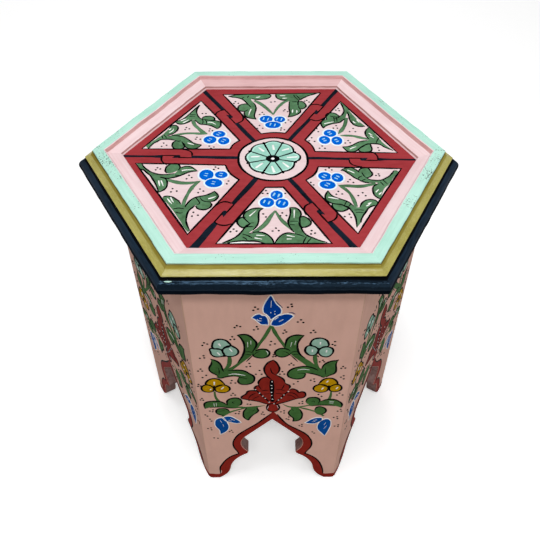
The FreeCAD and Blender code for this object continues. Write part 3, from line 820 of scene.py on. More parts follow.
# blue drops at the ends of the low twigs
drops = [[(-60, 166.5, TIP), (-56.8, 170.4), (-50.7, 171.2), (-44.7, 165.7), (-38.8, 158),
          (-38.1, 155.6, TIP), (-43.6, 154), (-49.7, 156.4), (-55.8, 159.5)],
         [(-59.2, 167.1), (-56.6, 162.1), (-54.6, 155.4), (-53.4, 143.7), (-57.2, 133.3),
          (-65.2, 125.7, TIP), (-65.5, 136.8), (-69.2, 145.4), (-70.2, 155.4), (-66.4, 165.5)],
         [(39.8, 154.5, TIP), (43.3, 158.7), (50, 165.5), (55.3, 167.3), (59.7, 166.8), (60.8, 162.1),
          (56.9, 156.2), (52.3, 152.8), (46, 152.6)],
         [(62.2, 162.3), (65.7, 164.4), (69.6, 162.3), (72.1, 150.6), (70.6, 138.3), (66.6, 121.2, TIP),
          (60.7, 130.6), (57.1, 137), (55.7, 147.2), (58, 156.8)]]
fill(drop_blue, *drops, layer=1)

# the red flower in the middle, on its ball
flame_left = [(0.6, 289.3, TIP), (-4.3, 284.8), (-7.4, 279.3), (-8.9, 272.8), (-8.4, 266.2), (-6.3, 259.5),
              (-4.2, 255.6)]
flame_right = [(0.6, 289.3, TIP), (3.5, 284.8), (6.1, 278.3), (7.3, 272.8), (6.3, 266.2), (3.7, 260.4)]
lobe_left = [(-5.3, 256.6), (-9.5, 255.6), (-13.3, 251.7), (-15.5, 245.8), (-15.5, 239.8)]
small_left = [(-15.5, 239.8), (-18.2, 237.8), (-19.9, 233.8), (-19.7, 230.7), (-18.3, 228.5)]
wing_left = [(-18.4, 227.1), (-20.6, 228.1), (-24.9, 228.4), (-28, 226.6), (-30, 221.4), (-32.9, 218.3),
             (-35.2, 215.1), (-35, 211.9), (-32, 210.3), (-23.6, 207.6), (-15.3, 204.4), (-6.8, 199.5),
             (-2, 197.5)]
lobe_right = [(3.7, 260.4), (8, 256.6), (11.9, 251.7), (14.2, 243.8)]
small_right = [(14.2, 243.8), (16.4, 241.3), (18.6, 239.8), (19.5, 235.8), (18.3, 230.7)]
wing_right = [(19.4, 229.7), (22.1, 231.7), (25.4, 230.7), (28.2, 227.6), (30, 224.5), (33.3, 225.6),
              (36.1, 224.5), (37.9, 220.4), (37.5, 216.2), (34.9, 213), (29.4, 211.4), (18.4, 205.5),
              (7.3, 199.5), (3, 197.5)]
fill(body_red, flame_left + lobe_left + small_left[1:] + wing_left + wing_right[::-1] + small_right[::-1]
     + lobe_right[2:0:-1] + flame_right[:0:-1])
ball = [(0.8 + 7.2 * math.cos(math.radians(a)), 191 + 9.6 * math.sin(math.radians(a)))
        for a in range(0, 360, 45)]
fill(body_red, ball, layer=1)
spine = [(-0.7, 251.2), (-3.3, 242), (-3.3, 231.7), (-1.6, 217), (0.2, 203.9), (1.4, 217), (2.2, 231.7),
         (1.6, 243)]

# the red band along the sawn arch and the foot
band_left = [(-71.2, 13.0), (-70.2, 33), (-67, 42), (-61, 55.5), (-53, 66), (-43.5, 73.3, TIP), (-45, 79),
             (-48.7, 90), (-49.8, 102.6), (-46.8, 115.5), (-40.6, 127), (-31, 138.7), (-18.3, 153),
             (-9.8, 164.8)]
band_right = [(11, 163.5), (18.8, 150.5), (30.7, 138.3), (40.7, 128), (47.3, 116.5), (50.7, 102.6),
              (49.7, 90.3), (45.2, 79), (43.3, 73.3, TIP), (53, 65.2), (61.6, 52.5), (67, 37), (70.4, 20),
              (71, 13.0)]
corner = arch_line.index(min(arch_line, key=lambda p: p[0] - p[1]))
sawn = [(x, z, TIP) for x, z in arch_line[corner + 1:] + arch_line[:corner - 1]]
fill(body_red, sawn + band_right[::-1] + [(5.5, 174.5), (1, 183, TIP), (-2.5, 176)] + band_left[::-1])
flowers = joined("side_flowers")

# black outlines, drawn with one fine brush
stroke(line_black, BLACK_LINE, *mint_left, *mint_right, *ochre_left[1:], *ochre_right[1:], ball,
       closed=True)
stroke(line_black, BLACK_LINE, ochre_left[0][6:] + ochre_left[0][:7],
       ochre_right[0][6:] + ochre_right[0][:7], curl_outer, curl_inner, curl_outer_r[:6], curl_inner_r[:6],
       bulb, bulb_r, pointed_right[:6], pointed_left, pointed_left_r[:6], pointed_right_r, scroll_top,
       scroll_foot, scroll_top_r, scroll_foot_r, low_leaf[:9], low_leaf_under[::-1], low_leaf_r[:6],
       low_leaf_under_r[::-1], bulb_up[:9], bulb_up_r[:6], bulb_low[:8], bulb_low_r[:6], hanging[:12],
       hanging_r[:9], flame_left + [(-0.7, 250.7)], flame_right, lobe_left, small_left, wing_left,
       lobe_right, small_right, wing_right)
stroke(line_black, BLACK_LINE, band_left + [(-2, 176.2)], [(6, 175)] + band_right, ends=(0.6, 0.6))

# thinner lines inside the forms
veins = [[(-58.5, 274.5), (-58.1, 267.6), (-58.8, 260.5)], [(-19.7, 299.3), (-17, 302.9), (-13.3, 305.2)],
         [(-28.7, 304.3), (-25, 304.8), (-20.2, 302)], [(-28.8, 299.3), (-25.1, 299.3), (-22.4, 298.3)],
         [(-19.7, 299.3), (-25.3, 290.8), (-28.1, 286.1)], [(-23.6, 182.8), (-20.7, 187.6)],
         [(-37.9, 253.4), (-35.9, 256.3), (-34, 255.7), (-28.2, 253.4)]]
stroke(line_black, 1.6, *veins, *[mirrored(v) for v in veins[:6]],
       [(34.7, 256.3), (36, 260), (35.7, 262.7), (32, 264), (27.3, 263.9)],
       [(-44.5, 200.5), (-46.5, 203.5), (-44, 205)], [(-66, 183.5), (-60.5, 183.7), (-56.5, 185.5)],
       [(45.5, 204), (48, 205.5), (49.5, 202)])
stroke(line_black, 2.1, [(-2.2, 274.2), (-1.6, 269), (0, 264.3), (3.7, 260.4)],
       [(-15.5, 239.8), (-15, 236.8), (-12.6, 231.7)], [(13.2, 240.8), (11.7, 234.8), (10.1, 230.7)],
       [(-12.6, 228.1), (-8.5, 229.2), (-4.1, 229.7)], [(-9.6, 220.9), (-5.2, 221.9), (-3, 222.4)],
       [(4.1, 230.7), (9.6, 230.2), (15.1, 227.6)], [(3.6, 222.4), (9.1, 221.9), (12.5, 220.4)],
       [(-19, 223.5), (-24, 219.3), (-28, 210.8)], [(-15.2, 216.2), (-19.1, 214), (-23.1, 208.7)],
       [(19, 224.5), (24.6, 222.4), (31, 213)], [(16.9, 219.3), (22.5, 217.2), (27.2, 210.8)],
       ends=(0.6, 0.4))
stroke(line_black, 3, [(-66, 239), (-63, 235.5)], [(64, 239), (61.5, 235.5)], [(-49, 297), (-52, 295.5)],
       [(46.5, 297), (48.5, 294.5)], ends=(0.7, 0.5))
stroke(line_blue, 1.5, [(2.4, 386.5), (5.4, 381.4), (9, 376.6)], [(15, 368.6), (18.5, 368.9), (21.5, 366.6)])
fill(line_black, spine, layer=5)
rays = [[(-19.2, 230.9), (-14.8, 223.3), (-11.2, 216.7), (-8.2, 212.1), (-3.6, 203.5)],
        [(18.1, 226.7), (13.2, 219.6), (10.3, 213), (7, 208.2), (2, 200.2)]]
stroke(line_black, 3.2, *rays, ends=(0.6, 0.6))

# white edges round the blue petals, and white lights
stroke(line_white, WHITE_EDGE, petal_middle, petal_left, petal_right, *drops, closed=True)
stroke(line_white, 3.9, [(-55.8, 319.2), (-53.9, 314.7)], [(-44.9, 310.2), (-42.5, 304.8)],
       [(-58, 303.4), (-55.6, 298.8)], [(48.8, 321), (48.8, 317)], [(41.3, 308), (41.3, 303.9)],
       [(56.2, 307), (56, 303)], [(-57.8, 232.2), (-55, 235.9)], [(60.4, 245.2), (62, 248.4)],
       [(55.6, 230.6), (57.6, 234.4)], [(72, 231.6), (74, 235.4)], [(-70.6, 230.6), (-69, 232.8)],
       ends=(0.6, 0.5), height=LIGHT_HEIGHT)
stroke(line_white, 3.6, [(-64.8, 247.3), (-65.2, 241)], ends=(0.8, 0.5), height=LIGHT_HEIGHT)
stroke(line_white, 1.5, [(-25.9, 321.4), (-25.9, 312.9)], [(-22.5, 324), (-22.6, 317.4)],
       [(19.5, 321), (18.3, 313)], [(23.5, 323.5), (22.6, 316.4)],
       [(-48.1, 261.6), (-42.5, 263), (-37, 262), (-30, 260)], [(27, 270), (33, 271.6), (40, 270.4)],
       [(-68.3, 201), (-68, 194.3)], [(-65.5, 201.6), (-65.6, 195)], [(66.5, 205), (72, 203.4)],
       [(66.5, 201.5), (71, 200.6)], [(-1.8, 387.2), (-2.1, 377.3)], [(-13.3, 360.7), (-11, 360)],
       [(-15.9, 358.9), (-13.6, 356.6), (-11.4, 356.8)], [(1.6, 357.9), (3.2, 360.5), (5.1, 362)],
       [(5.7, 355.2), (10.1, 358.7)], [(-6.2, 188), (-4.4, 194)], [(5.6, 196.4), (7, 190)],
       ends=(0.5, 0.4), height=LIGHT_HEIGHT)
stroke(line_white, 1.0, [(-7.5, 306.4), (-5.2, 303), (-5.5, 298.8)], height=LIGHT_HEIGHT)
stroke(line_white, 1.2, [(-63, 161), (-61.5, 156)], [(-60.5, 152), (-59.6, 145)],
       [(-50.5, 165.5), (-45.5, 161)], [(-53, 161.5), (-48.5, 159.5)], [(65.5, 155), (63.5, 148)],
       [(66.8, 147), (64, 139)], [(50, 160.5), (54.5, 162)], [(48.5, 157), (52.5, 158.5)], ends=(0.5, 0.4),
       height=LIGHT_HEIGHT)
dot(line_white, 0.75, (-2.2, 369.3), (1.7, 371.3), (1.7, 367), height=LIGHT_HEIGHT)
dot(line_white, 1.25, (-0.5, 247), (-1.1, 239.5), (-0.7, 233.3), (-1, 225), (-0.8, 218.3), (0.1, 210.3),
    *[(x, z + 0.2) for x, z in rays[0]], *rays[1], height=LIGHT_HEIGHT)

# dots in threes over the free ground
dots = [(-17.3, 377.5), (-14.6, 374.7), (-19, 372.8), (17.4, 381.8), (18.1, 378.4), (14.2, 377.3),
        (27.5, 357.7), (24.4, 354.3), (29.9, 353.4), (-35.8, 348.8), (-38.1, 345.7), (-32.5, 347.3),
        (-16.1, 346.9), (-14.9, 343.3), (-19, 341.9), (11.8, 341.2), (13.4, 338.2), (10.4, 336.1),
        (40.7, 340.6), (42.7, 337.5), (38.1, 336.7), (-41.2, 330.5), (-39.3, 326.2), (-43.3, 325.6),
        (-70.5, 320.3), (-67.4, 318.1), (-72.7, 315.8), (-72.8, 297.3), (-72.4, 293.5), (-77.1, 292.8),
        (-78, 272.4), (-81, 268.5), (-76.5, 268.5), (-72.8, 260.2), (-77.2, 255.8), (-82.8, 241.9),
        (-83.6, 238), (-80.6, 238.5), (-81.3, 212), (-83.2, 208.7), (-80.1, 208.1), (-45.3, 249.5),
        (-46.6, 244.4), (-41.4, 244.4), (-25, 282.8), (-28.2, 276.4), (-24.2, 277.2), (-45, 222.8),
        (-47.3, 218.7), (-42.7, 219), (-14.2, 269.3), (-18.4, 261.9), (-12, 261.9), (-74.2, 183.3),
        (-70.9, 181.8), (-70.2, 186.1), (-80.2, 174.5), (-77.9, 171.5), (-75.4, 164.1), (-73.8, 159.5),
        (-79.5, 141), (-75.6, 142.5), (-75.2, 137.8), (-73.4, 116.8), (-68.7, 115.8), (-43.8, 177.4),
        (-40.1, 176.8), (-39.2, 181.8), (-53.1, 133), (-49.3, 131.4), (-50.6, 136.2), (-26.9, 207.3),
        (-29, 198.9), (-25.6, 198.4), (-11.2, 180.4), (-12.7, 176), (-9.8, 174.5), (-1.8, 322.3),
        (-2.7, 316.2), (2.1, 318), (1, 298.5), (0.4, 295.1), (3, 295.8), (63.7, 321.6), (61.5, 316.7),
        (64.2, 315.1), (53.6, 288.2), (50.1, 285.2), (55, 285.2), (76, 276.4), (74.3, 272.9), (78.7, 273.3),
        (78.3, 258.2), (75.5, 255.3), (78.9, 252), (17.8, 280), (20, 282.8), (22.5, 279.5), (10.7, 266.8),
        (8.1, 261.9), (12.9, 261.9), (42.4, 249.5), (46, 252), (46.7, 247), (23.7, 241.9), (28.3, 247),
        (76.7, 222.2), (74.2, 218.2), (80.6, 218.2), (31.5, 200.3), (35, 204.5), (35.2, 199.8),
        (52.8, 219.5), (56.6, 215.5), (81.2, 186.1), (77.9, 181.8), (82.3, 181.8), (10.2, 180.9),
        (14.1, 183.3), (14.2, 178), (17.2, 164.1), (20.1, 168.6), (19.8, 162.6), (74.4, 167.1),
        (78.3, 168.6), (79.1, 164.1), (77.1, 145.7), (81.4, 148.8), (81.3, 144.7), (33.6, 147.2),
        (36.5, 150.3), (36.7, 145.7), (50.4, 131.4), (52.9, 128.2)]
dot(line_black, 1.4, *dots)
lines = joined("side_lines")


# the painter's hand slips a little from side to side, but not along the arch: how far, over what length
SLIP = 1.6 * MM
SLIP_LENGTH = 70 * MM
SLIPS_ABOVE = 0.19


def hung_on(piece, side, name):
    """A copy of the flat painting, stood up against a side board, with the small slips of a second hand."""
    copy = bpy.data.objects.new(name, piece.data.copy())
    bpy.context.collection.objects.link(copy)
    for vertex in copy.data.vertices:
        if side > 1 and vertex.co.y > SLIPS_ABOVE:
            slip = vertex.co / SLIP_LENGTH + Vector((9 * side, 0, 0))
            slip.z = side
            vertex.co.x += SLIP * noise.noise(slip)
            vertex.co.y += SLIP * noise.noise(slip + Vector((0, 40, 0)))
    upright = Matrix.Translation((0, -BODY_APOTHEM, 0)) @ Matrix.Rotation(math.pi / 2, 4, "X")
    copy.data.transform(Matrix.Rotation(math.radians(60 * (side - 1)), 4, "Z") @ upright)
    return copy


for side in SIDES:
    for drawing in (flowers, lines):
        piece = hung_on(drawing, side, f"{drawing.name}_{side}")
        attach(piece, "root")
bpy.data.objects.remove(flowers)
bpy.data.objects.remove(lines)

# ---------------------------------------------------------------------------------------------------------
# Ornament on the tray. Traditional strapwork: a red frame with six spokes of interlaced bands round a disc
# with an eight-petalled rosette, and in each of the six cells a spray of leaves with three blue berries. It
# is painted as the sides are, in mm along a side and out from the middle of the tray.
DISC = ((1.5, 1.6), 36.8)
SPOKE_FROM = 37
SPOKE_LENGTH = 113
SPOKE_GAP = 0.4
DISC_LAP = 0.6
WAVER = 0.008
# by angle: how far the bar strays across at the disc and at the corner, where its knot lies, its half widths
SPOKES = {0: (0, 0, 0, 2, 1.5), 60: (-1, -2, 0.5, 2.3, 2.6), 120: (2, 4, -8.5, 2.5, 2.9),
          180: (1, 1, 0.5, 2.3, 1.8), 240: (3, 4.4, 0, 2.7, 3.9), 300: (-3, -3.8, -1.5, 2.4, 3.3)}
CELL_CORNERS = {1: ((-52.2, 128.2), (53.3, 128.1), (-7.1, 48.5), (10.9, 48.2)),
                2: ((-60.4, 125.6), (54.8, 125.9), (-15, 48), (11.7, 49.4)),
                3: ((-58.6, 124.1), (53, 124.5), (-13.1, 46.3), (9.4, 47.4)),
                4: ((-58.5, 125.9), (57.2, 122.9), (-15, 44.1), (11.8, 42.9)),
                5: ((-53.3, 125.3), (58, 125.1), (-8.7, 45.1), (9.8, 45.3)),
                6: ((-59.1, 128), (61.2, 126.2), (-12.2, 48.4), (15.2, 47.4))}

tray_red = oil_paint("red oil paint on the tray", "#A83D42", "#9B353A", roughness=0.34, marks=(14, 5, 5))
bar_navy = oil_paint("navy oil paint", "#1A2430", "#10161E", roughness=0.32, marks=(6, 6, 6))
tray_green = oil_paint("light green oil paint", "#628E68", "#4C704E", roughness=0.34, marks=(6, 6, 6))
tray_blue = oil_paint("bright blue oil paint", "#006ADC", "#005ECA", roughness=0.34, marks=(5, 5, 5))
halo_white = oil_paint("bluish white oil paint", "#F2FBFC", "#DFF2F6", roughness=0.34, marks=(4, 4, 4))
rosette_mint = oil_paint("mint oil paint on the rosette", "#A6DACA", "#93CDBB", roughness=0.34,
                         marks=(6, 6, 6))
line_white_mint = line_paint("light mint line paint", "#C4F1E4", 0.4)
line_sky = line_paint("sky blue line paint", "#A9E0F4", 0.4)


def plan(*outlines):
    """Points along and out from the middle, as they lie on side 1 of the tray."""
    return [[(p[0], -p[1], *p[2:]) for p in outline] for outline in outlines]


def turned(points, angle):
    """Points of the plan turned round the middle of the tray, in degrees."""
    c, s = math.cos(math.radians(angle)), math.sin(math.radians(angle))
    return [(p[0] * c - p[1] * s, p[0] * s + p[1] * c, *p[2:]) for p in points]


def on_spoke(angle, points):
    """Points along and across a spoke, on the painted bar, which strays a little from the true line."""
    inner, outer = SPOKES[angle][:2]
    return turned([(p[0], p[1] + inner + (outer - inner) * (p[0] - SPOKE_FROM) / SPOKE_LENGTH, *p[2:])
                   for p in points], angle)


def ring(centre, radius, count=16):
    """Points of a circle, drawn by a steady hand."""
    return [(centre[0] + radius * math.cos(2 * math.pi * i / count) * (1 + WAVER * math.sin(3 * i)),
             centre[1] + radius * math.sin(2 * math.pi * i / count) * (1 + WAVER * math.sin(2 * i)))
            for i in range(count)]


cell_outlines = []
for side, (outer_left, outer_right, inner_left, inner_right) in CELL_CORNERS.items():
    middle_out = (outer_left[1] + outer_right[1]) / 2 + (0.3 if side % 2 else -0.3)
    middle_in = 48.4 if side == 1 else math.hypot(*inner_right) + 0.6
    outline = [(*outer_left, TIP), ((outer_left[0] + outer_right[0]) / 2, middle_out), (*outer_right, TIP),
               ((outer_right[0] + inner_right[0]) / 2 + 0.4, (outer_right[1] + inner_right[1]) / 2),
               (*inner_right, TIP), ((inner_left[0] + inner_right[0]) / 2, middle_in), (*inner_left, TIP),
               ((outer_left[0] + inner_left[0]) / 2 - 0.4, (outer_left[1] + inner_left[1]) / 2)]
    cell_outlines += [turned(plan(outline)[0], 60 * (side - 1))]
frame_corner = TRAY_HALF / math.cos(math.pi / 6)
hexagon = [(frame_corner * math.cos(math.radians(a)), frame_corner * math.sin(math.radians(a)), TIP)
           for a in range(0, 360, 60)]
disc = ring((DISC[0][0], -DISC[0][1]), DISC[1])
drawn = bpy.data.curves.new("frame", "CURVE")
drawn.dimensions = "2D"
drawn.fill_mode = "BOTH"
drawn.extrude = 0.5 * MM
drawn.resolution_u = 6
for outline in [hexagon, disc, *cell_outlines]:
    add_spline(drawn, outline, True)
film("frame", drawn, tray_red, SUNK, FILM)
strapwork = joined("tray_frame")

# bars and knots of the spokes, in black-blue, and the black lines round cells and disc
for angle, (inner, outer, shift, thin, wide) in SPOKES.items():
    turn = math.radians(angle)
    start = DISC[1] - DISC_LAP + DISC[0][0] * math.cos(turn) - DISC[0][1] * math.sin(turn)
    left_end = frame_corner - SPOKE_GAP - abs(outer + wide) / math.tan(math.radians(60))
    right_end = frame_corner - SPOKE_GAP - abs(outer - wide) / math.tan(math.radians(60))
    tip = [(frame_corner - SPOKE_GAP, -outer)] if abs(outer) < wide else []
    inner_bar = [(start, thin, TIP), (54, thin + 0.3), (70, thin - 0.3), (83.8 + shift, 1.8, TIP),
                 (83 + shift, -2.4, TIP), (68, -thin), (52, 0.1 - thin), (start, -thin, TIP)]
    outer_bar = [(114.4 + shift, 2.3, TIP), (126, wide * 0.8), (140, wide * 0.92), (left_end, wide, TIP),
                 *tip, (right_end, -wide, TIP), (138, -wide * 0.85), (125, -wide * 0.95),
                 (113.6 + shift, -2.8, TIP)]
    fill(bar_navy, on_spoke(angle, inner_bar), on_spoke(angle, outer_bar), layer=2)
    hook = [(95.3, -2.4), (94.8, -0.6), (95.6, 1.3, TIP), (99, 1.9), (101.6, 1.9), (103.6, 1.6, TIP),
            (101.9, 0.1), (101.4, -2.3, TIP), (98.2, -3)]
    loops = [[(95.2, -13.6), (90.6, -12.7), (87, -11.2), (84, -8.4), (82.9, -4.9), (82.9, -2)],
             [(113.8, -1), (114.2, 2.7), (113.6, 6.4), (111.6, 9.9), (107.4, 13.2)],
             [(83.4, 1.2), (90, 1.1), (97, 1.2)], [(99, -2.1), (106, -2.1), (114, -2)]]
    hook, *loops = [on_spoke(angle, [(p[0] + shift, *p[1:]) for p in line]) for line in (hook, *loops)]
    fill(bar_navy, hook, layer=2)
    stroke(line_black, 2.2, *loops, ends=(0.9, 0.9))
stroke(line_black, 2.3, *cell_outlines, closed=True)
stroke(line_black, 2.8, disc, closed=True)

# the rosette: eight petals parted by lines that end in little knobs, and an eye
knobs = [(24.2, 7), (10.6, 24.1), (-9.6, 25.2), (-24.4, 9.4), (-22.9, -10.4), (-8.6, -25.1), (11.2, -25.5),
         (23.8, -9.7)]
petals = []
for a, b in zip(knobs, knobs[1:] + knobs[:1]):
    out = 1.13 if a == knobs[-1] else 1.04
    third = [((2 * a[i] + b[i]) / 3, (a[i] + 2 * b[i]) / 3) for i in (0, 1)]
    petals += [(a[0] * 0.98, a[1] * 0.98, TIP), (third[0][0] * out * 1.09, third[1][0] * out * 1.09),
               (third[0][1] * out * 1.09, third[1][1] * out * 1.09)]
petals = plan(petals)[0]
eye = plan([(0.7 + 7.3 * math.cos(math.radians(a)), 1.9 + 6 * math.sin(math.radians(a)))
            for a in range(0, 360, 45)])[0]
fill(rosette_mint, petals)
fill(line_black, eye, layer=2)
stroke(line_white_mint, 1.6, [(p[0] * 0.93, p[1] * 0.93, *p[2:]) for p in petals], closed=True,
       height=LIGHT_HEIGHT - 0.16)
stroke(line_black, 2.3, petals, closed=True)
stroke(line_black, 2.3, *plan(*[[(0.7 + 0.2 * (k[0] - 0.7), 1.9 + 0.2 * (k[1] - 1.9)), k] for k in knobs]),
       ends=(0.8, 1.25))
dot(line_black, 1.6, *plan([(k[0] * 1.04, k[1] * 1.04) for k in knobs])[0])
dot(line_white, 2.6, *plan([(0.7, 1.9)])[0], height=LIGHT_HEIGHT)
stroke(line_white, 4.6,
       *plan([(1, -22.1), (2, -13.6)], [(-14.2, -17.4), (-8.6, -10.6)], [(-22.2, -0.6), (-12.9, -1.5)],
             [(-17, 17.6), (-9.8, 9.7)], [(-0.5, 14.6), (2.1, 25)], [(11, 8.4), (17.4, 16.4)],
             [(15.8, -0.4), (27.4, -1.9)], [(10.5, -12.4), (18.6, -15.8)]), ends=(0.55, 0.7),
       height=LIGHT_HEIGHT)
centre = joined("tray_strapwork")

# three berries in each cell, with a pale halo and two sky blue lights each: middle and half widths in mm
BERRIES = [(4, -60.8, 6, 7.1), (-5.5, -71.4, 7, 6.9), (9, -72.8, 6.3, 6.9),
           (54.2, -30.4, 7, 6.8), (67.2, -32.2, 6.2, 7.1), (56, -44, 8.2, 6.7),
           (65, 44.6, 7.1, 6.6), (58.2, 32.2, 6.3, 7.2), (71.9, 31.2, 6.1, 7.5),
           (-6.1, 71.2, 7.3, 6.9), (9, 70.5, 6.3, 6), (1.4, 59.7, 8.8, 6.4),
           (-57.4, 41.5, 6.9, 6), (-66.5, 30.4, 6.9, 7.1), (-51.7, 28.9, 6.1, 6.9),
           (-66.5, -30.1, 7.2, 8.4), (-51.6, -29.6, 6.4, 5.6), (-58.5, -42.7, 8.6, 6.7)]
BERRY_HALO = 1.8
BERRY_RING = 1
LEAF_LINE = 2.05
VEIN_LINE = 1.6
LEAF_LIGHT = 1.9
TRAY_DOT = 1.2
LIGHT_RUNS = [(1.7, 4.6), (3.2, -2.2), (3.2, 1.6), (1.2, 4.9), (3.2, -1.8), (3.4, -0.8)]
STEMS = [[(2.4, -83.3), (-1.9, -91), (-6.5, -100.6), (-11.6, -107.6), (-18.5, -113.5)],
         [(2.4, -83.3), (5.9, -92.2), (10.4, -100), (17.2, -108.5)],
         [(67, -44.5), (77, -45), (89.5, -45.5), (100.5, -42.5), (106, -40.5)],
         [(67, -44.5), (70, -46.5), (73.5, -50.5), (77.5, -57), (80, -66), (81.5, -77)],
         [(74.5, 44), (78, 50), (81.5, 57), (84, 65), (85.5, 75)],
         [(76.5, 41), (83, 41), (90.5, 40.5), (97.5, 38), (108, 35)],
         [(2, 80.5), (-3, 89), (-8, 97), (-14, 104.5), (-20, 110)],
         [(2, 80.5), (6, 92), (10.5, 100.5), (15.5, 107), (21, 110.5)],
         [(-70, 41.5), (-75.5, 45.5), (-80.5, 52), (-85, 58.5), (-88, 68)],
         [(-70, 41.5), (-78.5, 42), (-87.5, 42.5), (-96, 41.5), (-108, 37)],
         [(-72, -40), (-82.5, -43), (-94, -42.5), (-108, -37)],
         [(-72, -40), (-77, -45.5), (-80, -51.5), (-82.5, -58.5), (-85.5, -71.5), (-86, -79)]]
stroke(tray_green, 4.6, *STEMS[::2], ends=(0.35, 0.9), height=FILM - 0.03)
stroke(tray_green, 3.9, *STEMS[1::2], ends=(0.35, 0.9), height=FILM - 0.02)


def oval(x, y, half_x, half_y):
    """An oval set down with a round brush."""
    eighths = [a * math.pi / 4 for a in range(8)]
    return [(x + half_x * math.cos(turn), y + half_y * math.sin(turn)) for turn in eighths]


for first in range(0, len(BERRIES), 3):
    cluster = BERRIES[first:first + 3]
    fill(halo_white, [berry[:2] for berry in cluster])
    for x, y, half_x, half_y in cluster:
        fill(halo_white, oval(x, y, half_x + BERRY_HALO, half_y + BERRY_HALO))
    for x, y, half_x, half_y in cluster:
        fill(halo_white, oval(x, y, half_x + BERRY_RING, half_y + BERRY_RING), layer=1)
        fill(tray_blue, oval(x, y, half_x, half_y), layer=1)
berries = joined("tray_berries")
for i, (x, y) in enumerate(berry[:2] for berry in BERRIES):
    run_x, run_y = LIGHT_RUNS[i // 3]
    for hand in (-1, 1):
        mid_x, mid_y = x + hand * 0.5 * run_y - 0.4, y - hand * 0.5 * run_x + 0.3
        light = [(mid_x - run_x / 2, mid_y - run_y / 2), (mid_x + run_x / 2, mid_y + run_y / 2)]
        stroke(line_sky, 2.3, light, ends=(0.7, 1))
berry_lines = joined("tray_berry_lines")
tray_pieces = [strapwork, centre, berries, berry_lines]


def spray(side, forms, veins, lights, dots):
    """One cell's leaves: green forms with black edges, then veins, white lights and dots in threes.

    An edge in round brackets lies on the cell's own black line and gets none.
    """
    for layer, form in enumerate(forms):
        outline = [point for edge in form for point in edge]
        outline = [point for point, last in zip(outline, outline[-1:] + outline) if point[:2] != last[:2]]
        fill(tray_green, outline, layer=layer % 2)
    tray_pieces.append(joined(f"tray_spray_{side}"))
    edges = [edge for form in forms for edge in form if isinstance(edge, list)]
    stroke(line_black, LEAF_LINE, *edges, ends=(0.6, 0.5))
    stroke(line_black, VEIN_LINE, *veins, ends=(0.8, 0.5))
    stroke(line_white, LEAF_LIGHT, *lights, ends=(0.9, 0.4), height=LIGHT_HEIGHT)
    dot(line_black, TRAY_DOT, *dots)
    tray_pieces.append(joined(f"tray_lines_{side}"))


